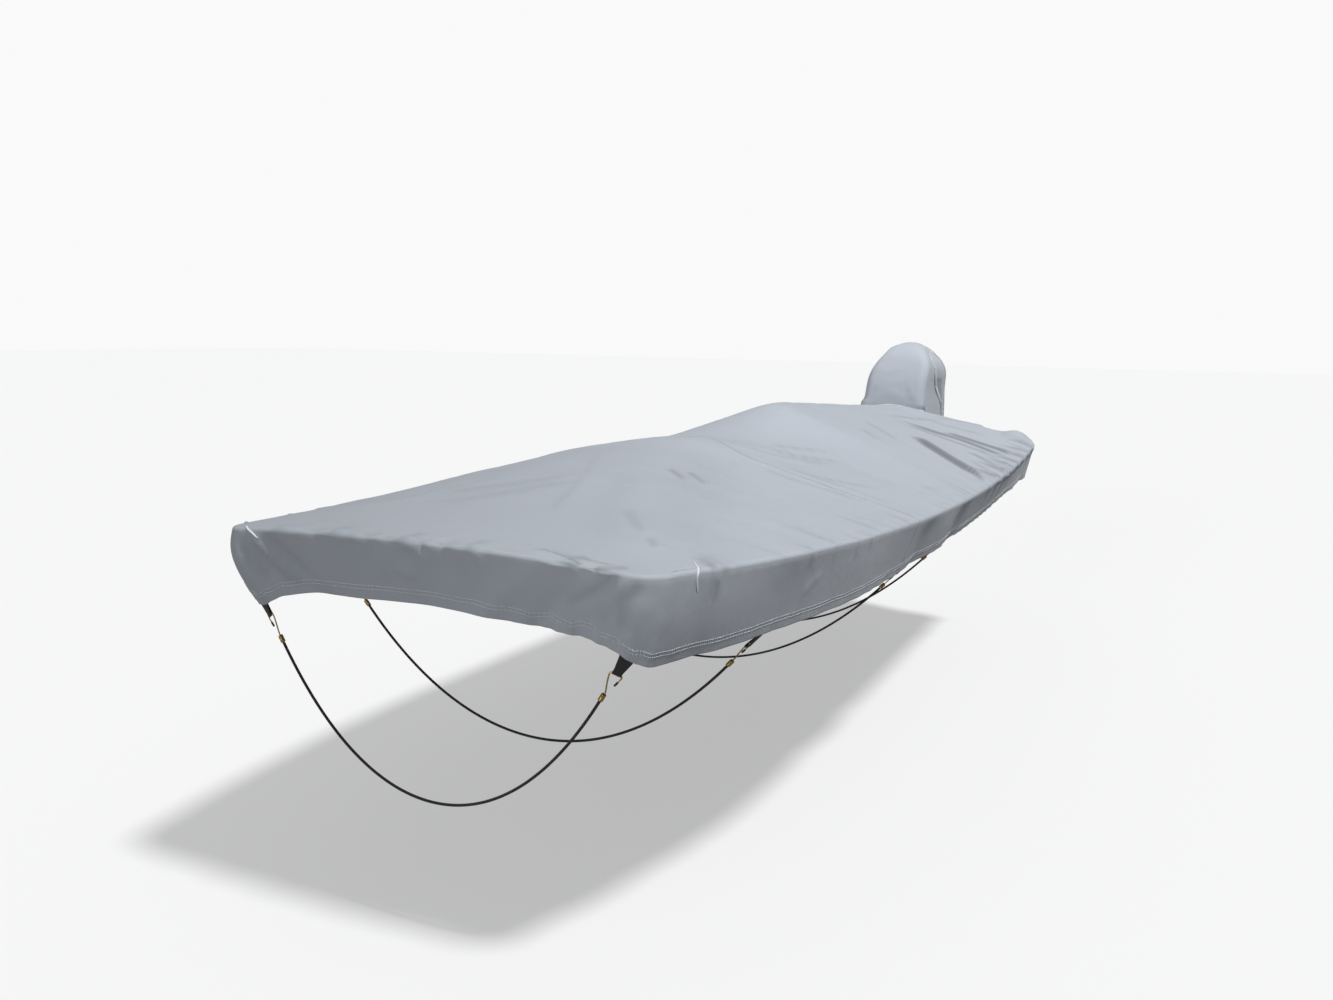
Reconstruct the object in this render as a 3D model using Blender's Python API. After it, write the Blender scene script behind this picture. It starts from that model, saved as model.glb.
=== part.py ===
"""A fitted cover for a flat-bottomed boat, drawn over two support poles, with a
hood sewn on behind for the outboard motor.

Metres, +Z up. Y runs from the bow (-Y) to the stern (+Y), and +X is the port side.
The origin is under the cloth at the top of the front support pole.

Inside this file a place on the boat is given as (across, station, height): across
from the centre line towards port, station aft of the bow edge, and height above the
gunwale amidships.
"""
import math
from collections import namedtuple

import bpy
import numpy as np
from mathutils import Vector
from mathutils.bvhtree import BVHTree

# Driving dimensions
BOAT_LENGTH = 4.30
CLOTH = 0.003               # a woven cover with its proofing, as a solid sheet
SEAM_GAP = 0.0003           # between pieces that are sewn together
EDGE_RADIUS = 0.020         # cloth pulled round the gunwale
BOW_CORNER = 0.090          # corner radii in plan
STERN_CORNER = 0.060
BOW_CROWN = 0.029           # how far the bow edge bows forward
SEAM_STATION = 1.68         # the cross seam between the two main panels
POLE_STATION = 1.62         # the front support pole
MOTOR_REACH = 0.145         # the cover runs this far aft of the transom to the hood
MOTOR_FLAT = 0.25           # half-width of the straight edge that the hood is sewn to
MOTOR_BLEND = 0.75          # and where its bow has died out
CORNER_BLEND = 0.60         # rows straighten out over this distance from each end

# The gunwale, as the cloth sees it.
Rim = namedtuple("Rim", "station port starboard height")
RIM = (
    Rim(0.00, 0.676, 0.732, 0.080),
    Rim(0.26, 0.744, 0.774, 0.070),
    Rim(0.65, 0.818, 0.824, 0.057),
    Rim(1.08, 0.871, 0.871, 0.039),
    Rim(1.70, 0.897, 0.897, 0.015),
    Rim(2.15, 0.897, 0.897, 0.000),
    Rim(2.80, 0.884, 0.884, -0.012),
    Rim(3.40, 0.873, 0.873, -0.004),
    Rim(3.96, 0.868, 0.868, 0.030),
    Rim(4.30, 0.866, 0.866, 0.070),
)

# The centre line of the top, and how full the cloth hangs between it and each rim:
# 1 is a straight tent side, and more is a rounder one.
Ridge = namedtuple("Ridge", "station height port_fullness starboard_fullness")
RIDGE = (
    Ridge(0.00, 0.113, 2.00, 2.00),
    Ridge(0.45, 0.152, 1.60, 2.10),
    Ridge(0.95, 0.192, 1.25, 2.30),
    Ridge(1.40, 0.228, 1.10, 2.05),
    Ridge(1.62, 0.250, 1.02, 1.65),
    Ridge(1.74, 0.242, 1.02, 1.65),
    Ridge(2.05, 0.196, 1.35, 2.00),
    Ridge(2.30, 0.262, 1.20, 1.50),
    Ridge(2.48, 0.335, 1.05, 1.03),
    Ridge(3.10, 0.302, 1.10, 1.10),
    Ridge(3.70, 0.266, 1.10, 1.10),
    Ridge(4.45, 0.225, 1.00, 1.00),
)
RIDGE_SOFTNESS = 0.055      # rounding of the cloth over the centre line

# Where the boat's corners push the cloth up from below.
Swell = namedtuple("Swell", "station across rise reach_along reach_across")
SWELLS = (
    Swell(4.23, 0.795, 0.095, 0.12, 0.08),
    Swell(4.23, -0.795, 0.095, 0.12, 0.08),
)

# The hem: how far round from the middle of the bow, to port or to starboard, the
# height of its edge, how far it is drawn in under the gunwale, and how far the cloth
# above it stands out.
Hem = namedtuple("Hem", "distance height tuck bulge")
STARBOARD_HEM = (
    Hem(-5.90, -0.060, 0.010, 0.000),
    Hem(-5.20, -0.120, 0.030, 0.000),
    Hem(-4.70, -0.140, 0.050, 0.000),
    Hem(-3.60, -0.186, 0.066, 0.000),
    Hem(-2.40, -0.178, 0.066, 0.000),
    Hem(-1.30, -0.160, 0.060, 0.000),
    Hem(-0.95, -0.110, 0.055, 0.010),
    Hem(-0.76, -0.085, 0.050, 0.024),
    Hem(-0.70, -0.105, 0.050, 0.024),
    Hem(-0.62, -0.142, 0.050, 0.014),
    Hem(-0.50, -0.098, 0.036, 0.004),
    Hem(-0.36, -0.074, 0.030, 0.000),
)
PORT_HEM = (
    Hem(0.00, -0.062, 0.030, 0.000),
    Hem(0.36, -0.080, 0.032, 0.000),
    Hem(0.50, -0.098, 0.040, 0.000),
    Hem(0.62, -0.150, 0.055, 0.006),
    Hem(0.72, -0.163, 0.060, 0.010),
    Hem(1.30, -0.170, 0.060, 0.000),
    Hem(2.40, -0.178, 0.066, 0.000),
    Hem(3.60, -0.186, 0.066, 0.000),
    Hem(4.70, -0.140, 0.050, 0.000),
    Hem(5.20, -0.120, 0.030, 0.000),
    Hem(5.90, -0.060, 0.010, 0.000),
)
HEM = STARBOARD_HEM + PORT_HEM

# The motor hood, from its open hem up to its crown. Its plan is a rounded box from nose
# to back. The centre panel wraps the nose as far as the seam on either side.
DECK_END = BOAT_LENGTH + MOTOR_REACH - EDGE_RADIUS
HOOD_NOSE = DECK_END - 0.047
Rung = namedtuple("Rung", "height nose seam back half_width")
HOOD = (
    Rung(-0.060, HOOD_NOSE, 4.835, 4.925, 0.182),
    Rung(0.070, HOOD_NOSE, 4.850, 4.922, 0.182),
    Rung(0.190, HOOD_NOSE, 4.845, 4.918, 0.182),
    Rung(0.270, HOOD_NOSE + 0.004, 4.775, 4.914, 0.182),
    Rung(0.350, HOOD_NOSE + 0.018, 4.645, 4.904, 0.186),
    Rung(0.425, HOOD_NOSE + 0.052, 4.592, 4.880, 0.182),
    Rung(0.488, HOOD_NOSE + 0.104, 4.592, 4.838, 0.160),
    Rung(0.530, HOOD_NOSE + 0.180, 4.634, 4.776, 0.134),
    Rung(0.546, 4.690, 4.690, 4.690, 0.122),
)
HOOD_ACROSS = 0.020         # the motor stands a little to port
HOOD_NOTCH = 0.1835         # half-width of the gap in the transom skirt under the hood
NOTCH_SLACK = 0.001
HOOD_CORNER = 0.050         # radius of the box's front corners
HOOD_RUNGS = 15
HOOD_BULGE = 0.016          # the side panels' outward curve
HOOD_BACK_CROWN = 0.012     # how far the centre panel stands out behind, and above
HOOD_TOP_CROWN = 0.042
BULGE_STARTS = (0.25, 0.35)  # heights between which the side panels start to bulge
BULGE_ENDS = (0.56, 0.46)   # and between which they are flat again, from the top down
CROWN_RISES = (0.30, 0.54)  # heights between which the top's crown grows
CLOSING_DEPTH = 0.16        # where the sides are shorter than this, the plan closes
DECK_CLEARANCE = 0.010

# Where the tie-down loops are sewn, as distances along the hem from the bow's middle,
# and how steeply each slack shock cord leaves its hook, in degrees.
Tie = namedtuple("Tie", "distance slope")
TIES = (Tie(0.605, 58), Tie(1.15, 48), Tie(2.36, 46), Tie(3.04, 46))
WEBBING = 0.0016
LOOP_WIDTH = 0.038
LOOP_WAIST = 0.024          # where the hook gathers it
LOOP_DROP = 0.046
LOOP_SEWN = 0.024
LOOP_ELBOW = 0.006          # from the sewn stretch to where the strip turns down
LOOP_NECK = 0.45            # shares of the drop where the strip narrows, and where it closes on the wire
LOOP_CLOSES = 0.80
LOOP_SPREAD = 1.9           # how far apart its two layers stand there, in bends of the wire
LOOP_EASE = 0.001           # how far the under layer stands off there
PROBE_REACH = 0.040         # how far inside the hem a loop looks for the cloth
WIRE_RADIUS = 0.0020
HOOK_LENGTH = 0.064
# The hook's bends: sideways from its shank, and along it from its eye.
HOOK_BENDS = ((0.0, HOOK_LENGTH), (0.0, HOOK_LENGTH - 0.006), (0.010, 0.030), (0.016, 0.008),
              (0.0155, 0.0035), (0.012, 0.0), (0.0, 0.0), (-0.012, 0.0), (-0.0155, 0.0035),
              (-0.016, 0.008), (-0.013, 0.022))
TIP_LENGTH = 0.012
TIP_THICKNESS = 0.0008      # of the vinyl over the wire
CRIMP_RADIUS = 0.0070
CRIMP_LENGTH = 0.024
CORD_DIAMETER = 0.008
CORD_CLEARANCE = 0.001      # its end is not quite square to the crimp
CORD_POINTS = 21

GREY_CLOTH = (0.42, 0.45, 0.49)
BLACK_WEBBING = (0.012, 0.012, 0.013)
YELLOW_WIRE = (0.62, 0.44, 0.16)


def smooth(table, place, column):
    """A column's value at a place, on a smooth curve through the table's rows."""
    places = [row[0] for row in table]
    values = [getattr(row, column) for row in table]
    if place <= places[0]:
        return values[0]
    if place >= places[-1]:
        return values[-1]
    after = next(i for i, at in enumerate(places) if at > place)
    chords = [(values[i + 1] - values[i]) / (places[i + 1] - places[i]) for i in range(len(places) - 1)]

    def slope(i):
        left = chords[max(i - 1, 0)]
        right = chords[min(i, len(chords) - 1)]
        return 0.0 if left * right <= 0 else 2 * left * right / (left + right)

    low = after - 1
    width = places[after] - places[low]
    t = (place - places[low]) / width
    start = values[low] + t * t * (3 - 2 * t) * (values[after] - values[low])
    return start + width * t * (1 - t) * ((1 - t) * slope(low) - t * slope(after))


def smoothstep(low, high, value):
    t = min(max((value - low) / (high - low), 0.0), 1.0)
    return t * t * (3 - 2 * t)


def unit(vector):
    return vector / np.linalg.norm(vector)


ORIGIN_HEIGHT = smooth(RIDGE, POLE_STATION, "height") - CLOTH


def to_frame(point):
    """From (across, station, height) to the object's own frame."""
    return (float(point[0]), float(point[1]) - POLE_STATION, float(point[2]) - ORIGIN_HEIGHT)


def add_mesh(name, points, faces, colour, roughness):
    mesh = bpy.data.meshes.new(name)
    mesh.from_pydata([to_frame(point) for point in points], [], faces)
    mesh.validate()
    mesh.shade_smooth()
    mesh.set_sharp_from_angle(angle=math.radians(50))
    piece = bpy.data.objects.new(name, mesh)
    bpy.context.collection.objects.link(piece)
    paint(piece, colour, roughness, 0.0)
    return piece


def paint(piece, colour, roughness, metallic):
    material = bpy.data.materials.new(piece.name)
    material.use_nodes = True
    shader = material.node_tree.nodes["Principled BSDF"]
    shader.inputs["Base Color"].default_value = (*colour, 1.0)
    shader.inputs["Roughness"].default_value = roughness
    shader.inputs["Metallic"].default_value = metallic
    piece.data.materials.append(material)


# ---------------------------------------------------------------- the top's surface

def half_width(across, station):
    return smooth(RIM, station, "port" if across > 0 else "starboard") - EDGE_RADIUS


def top_height(across, station):
    half = half_width(across, station)
    rim = smooth(RIM, station, "height")
    ridge = smooth(RIDGE, station, "height")
    fullness = smooth(RIDGE, station, "port_fullness" if across > 0 else "starboard_fullness")
    soft_half = math.hypot(half, RIDGE_SOFTNESS) - RIDGE_SOFTNESS
    out = min((math.hypot(across, RIDGE_SOFTNESS) - RIDGE_SOFTNESS) / soft_half, 1.0)
    height = rim + (ridge - rim) * (1 - out ** fullness)
    inside = 1 - min(abs(across) / half, 1.0) ** 6
    for swell in SWELLS:
        along = (station - swell.station) / swell.reach_along
        sideways = (across - swell.across) / swell.reach_across
        height += swell.rise * math.exp(-along * along - sideways * sideways) * inside
    return height


def end_shape(across, half, corner):
    """How far a rounded corner draws the end edge back at a place across it."""
    past = abs(across) - (half - corner)
    if past <= 0:
        return 0.0
    return corner - math.sqrt(max(corner * corner - past * past, 0.0))


def top_point(share, station):
    """A place on the top: share of the half-width across, and the row's side station."""
    half = half_width(share, station)
    across = share * half
    aft = BOAT_LENGTH - station
    place = station
    if station < CORNER_BLEND:
        bow = end_shape(across, half, BOW_CORNER) - BOW_CROWN * (1 - share * share)
        place += bow * (1 - station / CORNER_BLEND)
    if aft < CORNER_BLEND:
        stern = MOTOR_REACH * (1 - smoothstep(MOTOR_FLAT, MOTOR_BLEND, abs(across)))
        stern -= end_shape(across, half, STERN_CORNER)
        place += stern * (1 - aft / CORNER_BLEND)
        place -= EDGE_RADIUS * (1 - aft / CORNER_BLEND)
    return np.array([across, place, top_height(across, max(place, 0.0))])


STERN_HALF = half_width(1, BOAT_LENGTH)
OUTER_SHARES = (0.36, 0.50, 0.63, 0.75, 0.85, 0.925, 0.975, 1.0)
COLUMNS = [-share for share in reversed(OUTER_SHARES)]
COLUMNS += [(HOOD_ACROSS - HOOD_NOTCH) / STERN_HALF, -0.09, 0.0, 0.115,
            (HOOD_ACROSS + HOOD_NOTCH) / STERN_HALF]
COLUMNS += list(OUTER_SHARES)
BOW_ROWS = [0.0, 0.02, 0.06, 0.12, 0.22, 0.34, 0.44, 0.54, 0.70, 0.90, 1.10, 1.30, 1.44, 1.56, 1.64,
            SEAM_STATION - SEAM_GAP / 2]
STERN_ROWS = [SEAM_STATION + SEAM_GAP / 2, 1.76, 1.88, 2.02, 2.16, 2.30, 2.42, 2.50, 2.64, 2.84, 3.06,
              3.28, 3.50, 3.72, 3.90, 4.04, 4.14, 4.21, 4.26, 4.285, 4.30]
ROWS = BOW_ROWS + STERN_ROWS
SEAM_ROW = len(BOW_ROWS) - 1
SKIRT_LEVELS = (0.2, 0.42, 0.64, 0.84, 1.0)

# Folds that stand or sink in the skirt: where round the hem, how far aft they drift
# from gunwale to hem, how wide and how deep, positive standing out.
Fold = namedtuple("Fold", "distance drift width depth")
FOLDS = (
    Fold(0.10, -0.10, 0.060, -0.006),
    Fold(0.34, -0.16, 0.050, 0.010),
    Fold(0.47, -0.14, 0.040, -0.010),
    Fold(0.60, -0.06, 0.045, 0.012),
    Fold(0.80, 0.05, 0.050, -0.008),
    Fold(1.22, 0.00, 0.120, -0.010),
    Fold(1.75, 0.05, 0.200, 0.008),
    Fold(2.40, 0.00, 0.110, -0.012),
    Fold(2.72, 0.02, 0.120, 0.008),
    Fold(3.02, 0.00, 0.110, -0.012),
    Fold(4.60, -0.10, 0.060, 0.008),
    Fold(4.80, -0.06, 0.050, -0.008),
    Fold(-0.30, 0.10, 0.060, 0.008),
    Fold(-0.55, 0.18, 0.050, -0.012),
    Fold(-0.68, 0.14, 0.045, 0.012),
    Fold(-1.22, 0.00, 0.120, -0.010),
    Fold(-2.40, 0.00, 0.110, -0.012),
    Fold(-3.02, 0.00, 0.110, -0.012),
)


def cover_grid():
    """The top as rows of points, and the edge loop that the skirt hangs from."""
    top = [[top_point(share, station) for share in COLUMNS] for station in ROWS]
    last_row = len(ROWS) - 1
    last_column = len(COLUMNS) - 1
    loop = [(0, i) for i in range(last_column + 1)]
    loop += [(j, last_column) for j in range(1, last_row + 1)]
    loop += [(last_row, i) for i in range(last_column - 1, -1, -1)]
    loop += [(j, 0) for j in range(last_row - 1, 0, -1)]
    return top, loop


def loop_distances(rim):
    """Distance of each edge point from the bow's middle: port positive, starboard negative."""
    count = len(rim)
    middle = COLUMNS.index(0.0)
    steps = [float(np.linalg.norm(rim[(k + 1) % count][:2] - rim[k][:2])) for k in range(count)]
    around = [0.0]
    for step in steps[:-1]:
        around.append(around[-1] + step)
    total = around[-1] + steps[-1]
    start = around[middle]
    distances = [(place - start) % total for place in around]
    return [place if place <= total / 2 else place - total for place in distances]


def skirt_column(rim_point, outward, distance):
    """The cloth from the gunwale's edge down to the hem at one place."""
    column = []
    for angle in (math.radians(45), math.radians(90)):
        drop = EDGE_RADIUS * (1 - math.cos(angle))
        column.append(rim_point + outward * EDGE_RADIUS * math.sin(angle) - np.array([0, 0, drop]))
    hem_height = smooth(HEM, distance, "height")
    tuck = smooth(HEM, distance, "tuck")
    bulge = smooth(HEM, distance, "bulge")
    start = column[-1]
    depth = start[2] - hem_height
    for level in SKIRT_LEVELS:
        out = bulge * math.sin(math.pi * level) - tuck * level
        for fold in FOLDS:
            off = (distance - fold.distance - fold.drift * level) / fold.width
            fullness = math.sin(math.pi * min(level, 0.5)) * (0.4 + 0.6 * level)
            out += fold.depth * math.exp(-off * off) * fullness
        column.append(start + outward * out - np.array([0, 0, depth * level]))
    return column


def vertex_normals(points, faces):
    normals = np.zeros_like(points)
    for face in faces:
        a, b, c, d = (points[i] for i in face)
        normals[list(face)] += np.cross(c - a, d - b)
    lengths = np.linalg.norm(normals, axis=1, keepdims=True)
    return normals / np.where(lengths > 0, lengths, 1)


# A flat stretch of the hem's inner side, by its four corners.
Facet = namedtuple("Facet", "distance corners")
# What the loops and the hood are set against: those facets, and the cloth's two sides.
Cover = namedtuple("Cover", "facets lining skin")


def seam_twins(face, points):
    """The two pairs of points that face each other across the cross seam."""
    a, b, c, d = face
    if np.linalg.norm(points[a] - points[b]) < np.linalg.norm(points[b] - points[c]):
        return ((a, b), (c, d))
    return ((b, c), (d, a))


def thicken(points, normals, faces, thickness):
    """A closed sheet from a one-sided surface, which grows inwards."""
    used = sorted({i for face in faces for i in face})
    place = {old: new for new, old in enumerate(used)}
    count = len(used)
    outer = [points[i] for i in used]
    inner = [points[i] - normals[i] * thickness for i in used]
    shell = [tuple(place[i] for i in face) for face in faces]
    walls = [tuple(i + count for i in reversed(face)) for face in shell]
    edges = {(a, b) for face in shell for a, b in zip(face, face[1:] + face[:1])}
    rims = [(b, a, a + count, b + count) for a, b in sorted(edges) if (b, a) not in edges]
    return outer + inner, shell + walls + rims


def build_cover():
    """The bow and stern panels."""
    top, loop = cover_grid()
    columns = len(COLUMNS)
    points = [point for row in top for point in row]
    rim = [top[j][i] for j, i in loop]
    distances = loop_distances(rim)
    count = len(loop)
    outwards = []
    for k in range(count):
        ahead = rim[(k + 1) % count] - rim[k - 1]
        outwards.append(unit(np.array([ahead[1], -ahead[0], 0.0])))
    for k in range(count):
        if {loop[k][0], loop[(k + 1) % count][0]} == {SEAM_ROW, SEAM_ROW + 1}:
            shared = unit(outwards[k] + outwards[(k + 1) % count])
            outwards[k] = shared
            outwards[(k + 1) % count] = shared
    skirt = []
    for k in range(count):
        column = [loop[k][0] * columns + loop[k][1]]
        for point in skirt_column(rim[k], outwards[k], distances[k]):
            column.append(len(points))
            points.append(point)
        skirt.append(column)
    points = np.array(points)

    bow_faces, stern_faces, seam_faces = [], [], []

    def sort_face(face, rows):
        if rows == {SEAM_ROW, SEAM_ROW + 1}:
            seam_faces.append(face)
        elif max(rows) <= SEAM_ROW:
            bow_faces.append(face)
        else:
            stern_faces.append(face)

    for j in range(len(ROWS) - 1):
        for i in range(columns - 1):
            a = j * columns + i
            sort_face((a, a + 1, a + columns + 1, a + columns), {j, j + 1})
    last_row = len(ROWS) - 1
    facets = []
    for k in range(count):
        after = (k + 1) % count
        rows = {loop[k][0], loop[after][0]}
        widest = max(abs(rim[k][0] - HOOD_ACROSS), abs(rim[after][0] - HOOD_ACROSS))
        if rows == {last_row} and widest < HOOD_NOTCH + NOTCH_SLACK:
            continue
        for level in range(len(SKIRT_LEVELS) + 2):
            here, there = skirt[k], skirt[after]
            face = (here[level + 1], there[level + 1], there[level], here[level])
            sort_face(face, rows)
        if rows != {SEAM_ROW, SEAM_ROW + 1}:
            facets.append(((distances[k] + distances[after]) / 2, face))

    normals = vertex_normals(points, bow_faces + stern_faces)
    for face in seam_faces:
        for i, twin in seam_twins(face, points):
            shared = unit(normals[i] + normals[twin])
            normals[i] = shared
            normals[twin] = shared
    for name, faces in (("bow_panel", bow_faces), ("stern_panel", stern_faces)):
        solid_points, solid_faces = thicken(points, normals, faces, CLOTH)
        add_mesh(name, solid_points, solid_faces, GREY_CLOTH, 0.85)
    inner = points - normals * CLOTH
    return Cover([Facet(distance, inner[list(face)]) for distance, face in facets],
                 BVHTree.FromPolygons(inner.tolist(), bow_faces + stern_faces),
                 BVHTree.FromPolygons(points.tolist(), bow_faces + stern_faces))


# ---------------------------------------------------------------- the motor hood

SIDE_SHARES = (0.0, 0.12, 0.30, 0.50, 0.70, 0.88, 1.0)
# The centre panel's columns: places across it from seam to seam, and on its plan how
# far round the box they are, 1 being the side's flat and 0 the middle of the nose.
Column = namedtuple("Column", "share across toward_seam")
HALF_BAND = (
    Column(1.00, 1.0, 1.0),
    Column(0.88, 1.0, 0.5),
    Column(0.76, 1.0, 0.0),
    Column(0.67, math.cos(math.radians(30)), -math.sin(math.radians(30))),
    Column(0.58, math.cos(math.radians(60)), -math.sin(math.radians(60))),
    Column(0.48, 0.0, -1.0),
    Column(0.24, -0.5, -1.0),
)
BAND = [Column(-column.share, *column[1:]) for column in HALF_BAND]
BAND += [Column(0.0, -1.0, -1.0)] + list(reversed(HALF_BAND))
NumberedRung = namedtuple("NumberedRung", ("place", *Rung._fields))


def hood_rung(place):
    """One rung of the hood at a share of the way up, on smooth curves through its rungs."""
    numbered = [NumberedRung(i / (len(HOOD) - 1), *rung) for i, rung in enumerate(HOOD)]
    return Rung(*(smooth(numbered, place, field) for field in Rung._fields))


def build_hood_side(name, side):
    rungs = [hood_rung(n / HOOD_RUNGS) for n in range(HOOD_RUNGS)]
    points = []
    for rung in rungs:
        for share in SIDE_SHARES:
            station = rung.seam + share * (rung.back - rung.seam)
            bulge = HOOD_BULGE * math.sin(math.pi * share) ** 2 * smoothstep(*BULGE_STARTS, rung.height)
            bulge *= smoothstep(*BULGE_ENDS, rung.height)
            points.append(np.array([HOOD_ACROSS + side * (rung.half_width + bulge), station, rung.height]))
    crown = hood_rung(1.0)
    points.append(np.array([HOOD_ACROSS + side * crown.half_width, crown.seam, crown.height]))
    columns = len(SIDE_SHARES)
    faces = []
    for j in range(len(rungs) - 1):
        for i in range(columns - 1):
            a = j * columns + i
            face = (a, a + 1, a + columns + 1, a + columns)
            faces.append(face if side > 0 else face[::-1])
    base = (len(rungs) - 1) * columns
    tip = len(points) - 1
    for i in range(columns - 1):
        face = (base + i, base + i + 1, tip)
        faces.append(face if side > 0 else face[::-1])
    points = np.array(points)
    straight_in = np.tile(np.array([side, 0.0, 0.0]), (len(points), 1))
    solid_points, solid_faces = thicken(points, straight_in, faces, CLOTH)
    add_mesh(name, solid_points, solid_faces, GREY_CLOTH, 0.85)


def nose_point(rung, column):
    """A place on the front of the centre panel, on a plan that is a box with round corners
    low down and closes to a straight line at the crown."""
    half = rung.half_width - CLOTH - 2 * SEAM_GAP
    side = math.copysign(1.0, column.share)
    depth = rung.seam - rung.nose
    corner = min(HOOD_CORNER, depth)
    if column.across >= 0:
        boxed = half - HOOD_CORNER * (1 - column.across)
    else:
        boxed = (half - HOOD_CORNER) * (1 + column.across)
    closing = smoothstep(CLOSING_DEPTH, 0.0, depth)
    across = side * (boxed + (abs(column.share) * half - boxed) * closing)
    if column.toward_seam >= 0:
        station = rung.nose + corner + (depth - corner) * column.toward_seam
    else:
        station = rung.nose + corner * (1 + column.toward_seam)
    crown = HOOD_TOP_CROWN * smoothstep(*CROWN_RISES, rung.height) * (1 - column.share ** 2)
    return np.array([HOOD_ACROSS + across, station, rung.height + crown])


def back_point(rung, column):
    half = rung.half_width - CLOTH - 2 * SEAM_GAP
    crown = 1 - column.share ** 2
    station = rung.back + HOOD_BACK_CROWN * crown
    height = rung.height + HOOD_TOP_CROWN * smoothstep(*CROWN_RISES, rung.height) * crown
    return np.array([HOOD_ACROSS + column.share * half, station, height])


def seat_on_deck(edge, skin):
    """Lifts the hood's front edge so that it clears the cover's facets all along."""
    lift = 0.0
    for here, there in zip(edge, edge[1:]):
        for share in np.linspace(0.0, 1.0, 9):
            for inside in (0.0, CLOTH):
                probe = here + (there - here) * share + np.array([0.0, inside, PROBE_REACH])
                distance = skin.ray_cast(Vector(probe), Vector((0.0, 0.0, -1.0)))[3]
                if distance is not None:
                    lift = max(lift, PROBE_REACH - distance)
    return [place + np.array([0.0, 0.0, lift + 2 * SEAM_GAP]) for place in edge]


def build_hood_band(skin):
    """The centre panel: up the nose from the cover, over the crown and down the back."""
    rungs = [hood_rung(n / HOOD_RUNGS) for n in range(HOOD_RUNGS + 1)]
    rows = [[nose_point(rung, column) for column in BAND] for rung in rungs]
    rows += [[back_point(rung, column) for column in BAND] for rung in reversed(rungs[:-1])]
    deck = top_height(HOOD_ACROSS, HOOD_NOSE)
    seated = next(n for n, rung in enumerate(rungs) if rung.height > deck + DECK_CLEARANCE) - 1
    over_deck = [i for i, column in enumerate(BAND) if column.toward_seam <= 0]
    edge = []
    for i in over_deck:
        across, station, _ = rows[seated][i]
        edge.append(np.array([across, station, top_height(across, station)]))
    for i, place in zip(over_deck, seat_on_deck(edge, skin)):
        rows[seated][i] = place
    columns = len(BAND)
    points = np.array([place for row in rows for place in row])
    faces = []
    for n in range(len(rows) - 1):
        for i in range(columns - 1):
            if n < seated and min(BAND[i].toward_seam, BAND[i + 1].toward_seam) < 0:
                continue
            a = n * columns + i
            faces.append((a, a + 1, a + columns + 1, a + columns))
    solid_points, solid_faces = thicken(points, vertex_normals(points, faces), faces, CLOTH)
    add_mesh("hood_center_panel", solid_points, solid_faces, GREY_CLOTH, 0.85)


# ---------------------------------------------------------------- loops, hooks, cords

def ribbon(name, path, widths, sideways, thickness, colour):
    """A flat strip along a path that lies in the plane square to sideways."""
    points = []
    last = len(path) - 1
    for n, place in enumerate(path):
        along = unit(path[min(n + 1, last)] - path[max(n - 1, 0)])
        up = np.cross(along, sideways)
        for a, b in ((-1, -1), (1, -1), (1, 1), (-1, 1)):
            points.append(place + sideways * a * widths[n] / 2 + up * b * thickness / 2)
    faces = [(3, 2, 1, 0)]
    for n in range(last):
        for i in range(4):
            a = 4 * n + i
            b = 4 * n + (i + 1) % 4
            faces.append((a, b, b + 4, a + 4))
    end = 4 * last
    faces.append((end, end + 1, end + 2, end + 3))
    return add_mesh(name, points, faces, colour, 0.9)


def rod(name, route, radius, resolution, colour, roughness, metallic):
    """A round wire or cord with closed ends."""
    curve = bpy.data.curves.new(name, "CURVE")
    curve.dimensions = "3D"
    curve.bevel_depth = radius
    curve.bevel_resolution = resolution
    curve.use_fill_caps = True
    spline = curve.splines.new("POLY")
    spline.points.add(len(route) - 1)
    for point, place in zip(spline.points, route):
        point.co = (*to_frame(place), 1.0)
    piece = bpy.data.objects.new(name, curve)
    bpy.context.collection.objects.link(piece)
    paint(piece, colour, roughness, metallic)
    return piece


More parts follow.
